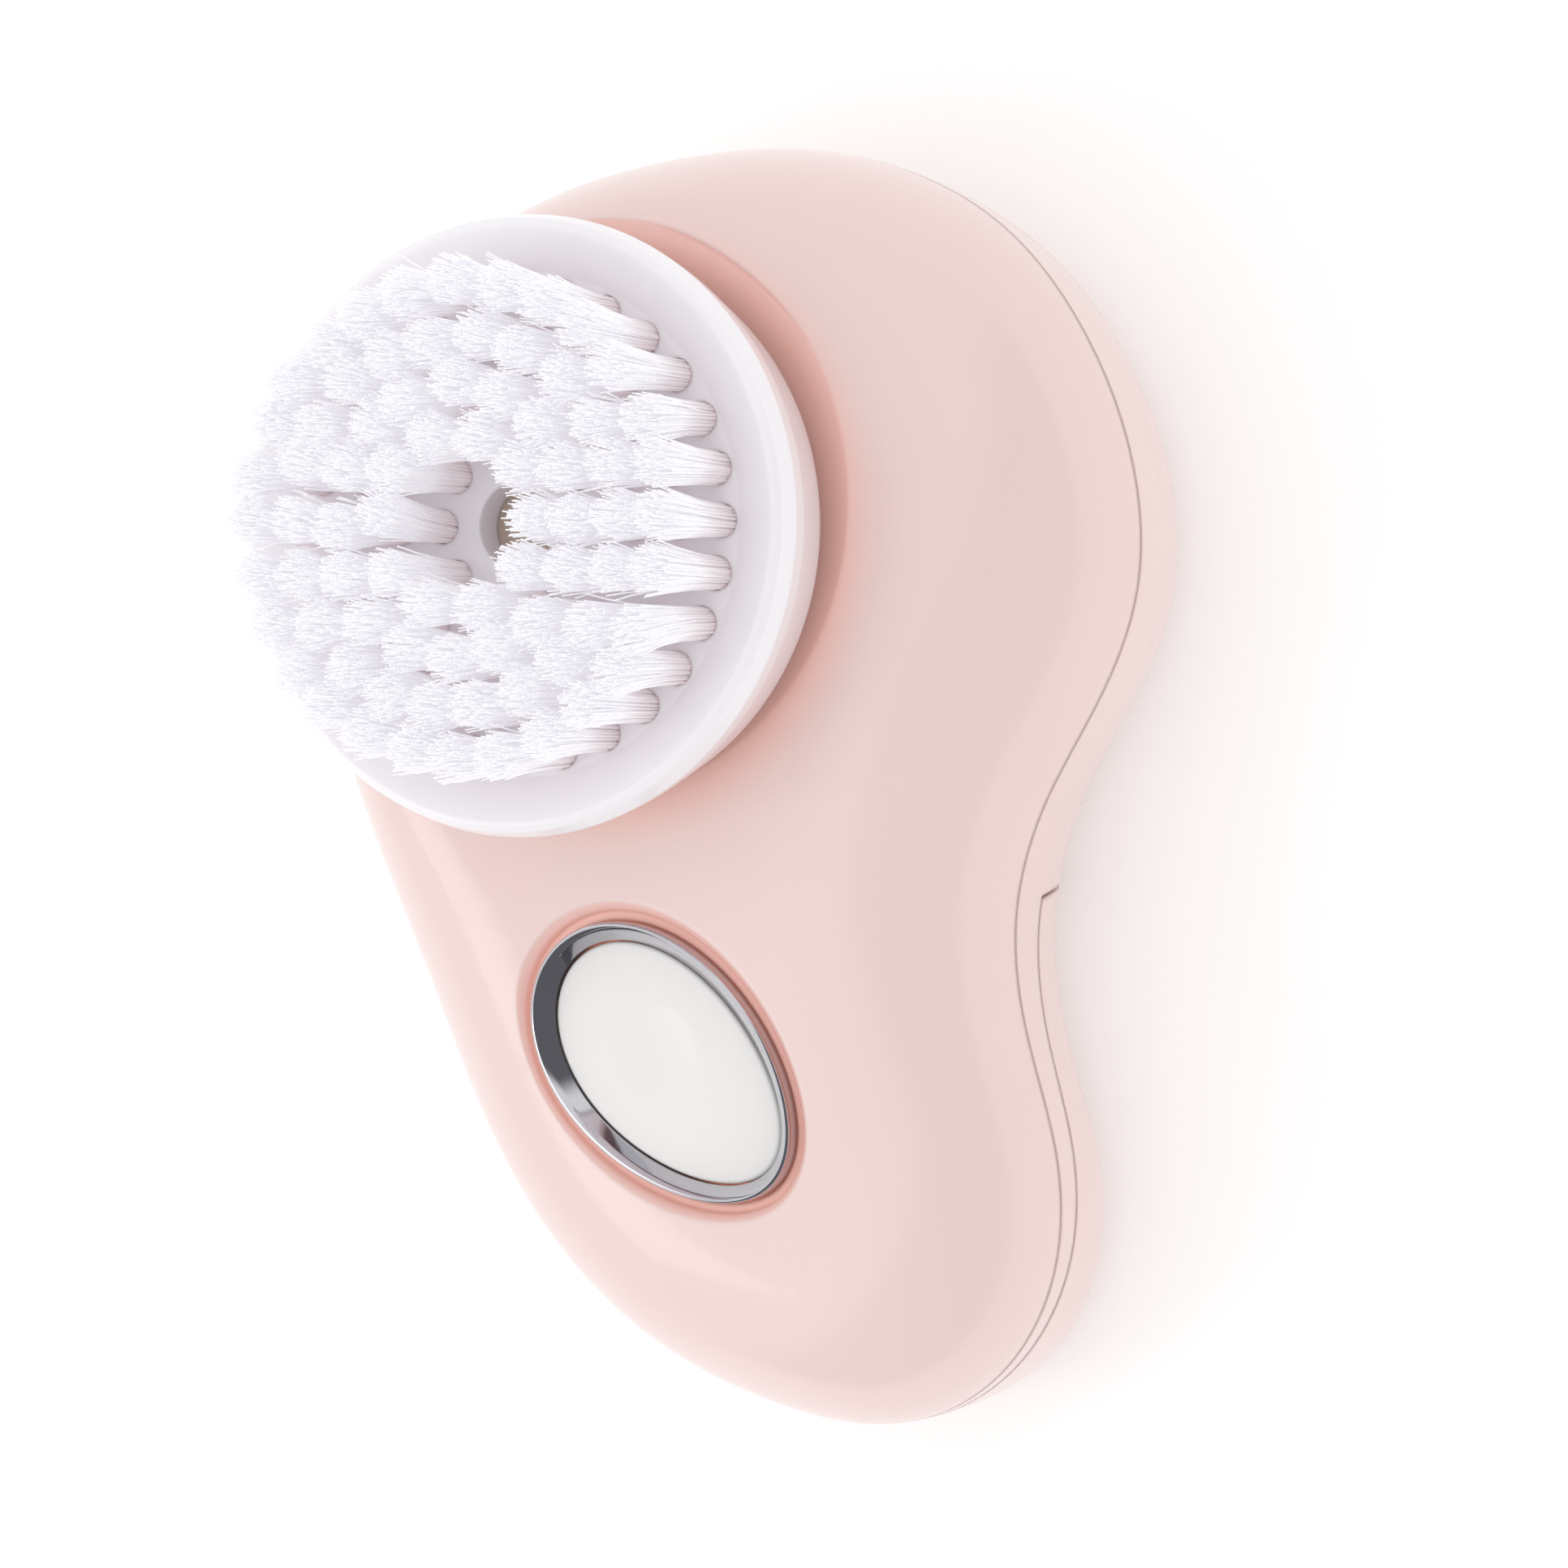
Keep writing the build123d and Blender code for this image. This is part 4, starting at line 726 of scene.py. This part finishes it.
    def button_profile(self) -> list[EggRing]:
        """Lists the rings of the button: crowned top, rounded edge, wall, flange and hollow underside.

        Returns:
            The rings, from the middle of the top to the middle of the underside.
        """
        inset = self.button_margin - self.button_edge_r
        rings = [EggRing(inset, 0.0, (step + self.pole_step) / (self.crown_rings + self.pole_step), True)
                 for step in range(self.crown_rings + 1)]
        for step in range(1, self.rounding_steps + 1):
            turn = math.radians(90 * step / self.rounding_steps)
            rings.append(EggRing(inset + self.button_edge_r * math.sin(turn),
                                 -self.button_edge_r * (1 - math.cos(turn)), 1.0, True))
        outer = self.button_margin + self.flange
        inner = self.button_margin - self.button_skin
        rings += [EggRing(self.button_margin, self.flange_top), EggRing(outer, self.flange_top),
                  EggRing(outer, self.flange_low), EggRing(inner, self.flange_low),
                  EggRing(inner, self.low), EggRing(inner, self.low, self.ceiling_share)]
        return rings

    def add_post(self, bm: bmesh.types.BMesh) -> None:
        """Adds the post that reaches from the button's skin down to the switch.

        Args:
            bm: The button's skin.
        """
        length = (self.low + self.post_sunk - self.post_low) * MM
        middle = self.post_low * MM + length / 2
        bmesh.ops.create_cone(bm, cap_ends=True, segments=self.post_around, radius1=self.post_r * MM,
                              radius2=self.post_r * MM, depth=length,
                              matrix=self.frame() @ Matrix.Translation((0, 0, middle)))


# ---------------------------------------------------------------- studio
@dataclass
class Studio:
    """A pale floor, a soft bright room, a softbox on the left and the camera. Millimetres and degrees."""

    floor_half: float = 3000.0
    floor_drop: float = 0.05
    floor_finish: Finish = Finish("floor", (0.86, 0.86, 0.86), (0.85, 0.85, 0.85), 0.85, patch=400.0,
                                  glow=0.24)
    camera_swing: float = 28.268
    camera_tilt: float = -0.644
    camera_target: Place = (15.815, -20.638, 25.6)
    camera_distance: float = 650.0
    focal: float = 184.6
    sensor: float = 36.0
    room_colour: Colour = (1.0, 1.0, 1.0)
    room_light: float = 0.98
    dark_colour: Colour = (0.9, 0.92, 1.0)
    dark_light: float = 0.17
    dark_toward: Place = (0.72, -0.63, -0.29)
    dark_edges: tuple[float, float] = (-0.12, 0.08)
    key_from: Place = (-0.72, -0.28, 0.64)
    key_distance: float = 1000.0
    key_size: float = 420.0
    key_power: float = 0.95

    def build(self) -> None:
        """Sets the floor, the light and the camera."""
        bpy.context.scene.view_settings.view_transform = "Standard"
        self.floor()
        self.room()
        self.softbox("key_softbox", self.key_from, self.key_distance, self.key_size, self.key_power)
        self.camera()
        log.info("studio ready")

    def floor(self) -> None:
        """Lays the pale floor just below the plane that the object rests on."""
        bm = bmesh.new()
        bmesh.ops.create_grid(bm, x_segments=1, y_segments=1, size=self.floor_half * MM)
        bmesh.ops.translate(bm, verts=bm.verts, vec=(0, 0, -self.floor_drop * MM))
        floor = new_piece("studio_floor", bm)
        floor.data.materials.append(self.floor_finish.material())

    def room(self) -> None:
        """Lights the room evenly, with a dark end that only bright metal shows."""
        world = bpy.data.worlds.new("studio_room")
        bpy.context.scene.world = world
        world.use_nodes = True
        nodes, links = world.node_tree.nodes, world.node_tree.links
        plain = nodes["Background"]
        plain.inputs["Color"].default_value = (*self.room_colour, 1.0)
        plain.inputs["Strength"].default_value = self.room_light
        dark = nodes.new("ShaderNodeBackground")
        dark.inputs["Color"].default_value = (*self.dark_colour, 1.0)
        dark.inputs["Strength"].default_value = self.dark_light
        place = nodes.new("ShaderNodeTexCoord")
        facing = nodes.new("ShaderNodeVectorMath")
        facing.operation = "DOT_PRODUCT"
        facing.inputs[1].default_value = Vector(self.dark_toward).normalized()
        links.new(place.outputs["Generated"], facing.inputs[0])
        patch = nodes.new("ShaderNodeMapRange")
        patch.interpolation_type = "SMOOTHSTEP"
        patch.inputs["From Min"].default_value = self.dark_edges[0]
        patch.inputs["From Max"].default_value = self.dark_edges[1]
        links.new(facing.outputs["Value"], patch.inputs["Value"])
        path = nodes.new("ShaderNodeLightPath")
        only = nodes.new("ShaderNodeMath")
        only.operation = "MULTIPLY"
        links.new(patch.outputs["Result"], only.inputs[0])
        links.new(path.outputs["Is Glossy Ray"], only.inputs[1])
        mixed = nodes.new("ShaderNodeMixShader")
        links.new(only.outputs["Value"], mixed.inputs["Fac"])
        links.new(plain.outputs["Background"], mixed.inputs[1])
        links.new(dark.outputs["Background"], mixed.inputs[2])
        links.new(mixed.outputs["Shader"], nodes["World Output"].inputs["Surface"])

    def softbox(self, name: str, direction: Place, distance: float, size: float, power: float) -> None:
        """Hangs a square soft light that faces the object.

        Args:
            name: The light's name.
            direction: Where it hangs, seen from the object.
            distance: How far away it hangs.
            size: Its side.
            power: Its power in watts.
        """
        lamp = bpy.data.lights.new(name, "AREA")
        lamp.shape = "SQUARE"
        lamp.size = size * MM
        lamp.energy = power
        box = bpy.data.objects.new(name, lamp)
        aim = Vector(self.camera_target) * MM
        toward = Vector(direction).normalized()
        box.location = aim + toward * distance * MM
        box.rotation_euler = toward.to_track_quat("Z", "Y").to_euler()
        bpy.context.scene.collection.objects.link(box)

    def camera(self) -> None:
        """Sets the camera above the object, a little to its right."""
        swing, tilt = math.radians(self.camera_swing), math.radians(self.camera_tilt)
        back = Vector((math.sin(swing) * math.cos(tilt), math.sin(tilt), math.cos(swing) * math.cos(tilt)))
        right = Vector((math.cos(swing), 0.0, -math.sin(swing)))
        up = back.cross(right)
        lens = bpy.data.cameras.new("camera")
        lens.lens = self.focal
        lens.sensor_width = self.sensor
        camera = bpy.data.objects.new("camera", lens)
        turned = Matrix((right, up, back)).transposed().to_4x4()
        place = (Vector(self.camera_target) + back * self.camera_distance) * MM
        camera.matrix_world = Matrix.Translation(place) @ turned
        bpy.context.scene.collection.objects.link(camera)
        bpy.context.scene.camera = camera


def main() -> None:
    """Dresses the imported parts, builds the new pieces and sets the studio."""
    logging.basicConfig(level=logging.INFO, format="%(name)s: %(message)s")
    wardrobe = Wardrobe()
    wardrobe.dress_frame()
    ButtonSet(wardrobe).build()
    BrushHead(wardrobe).build()
    Studio().build()


if __name__ == "__main__":
    main()
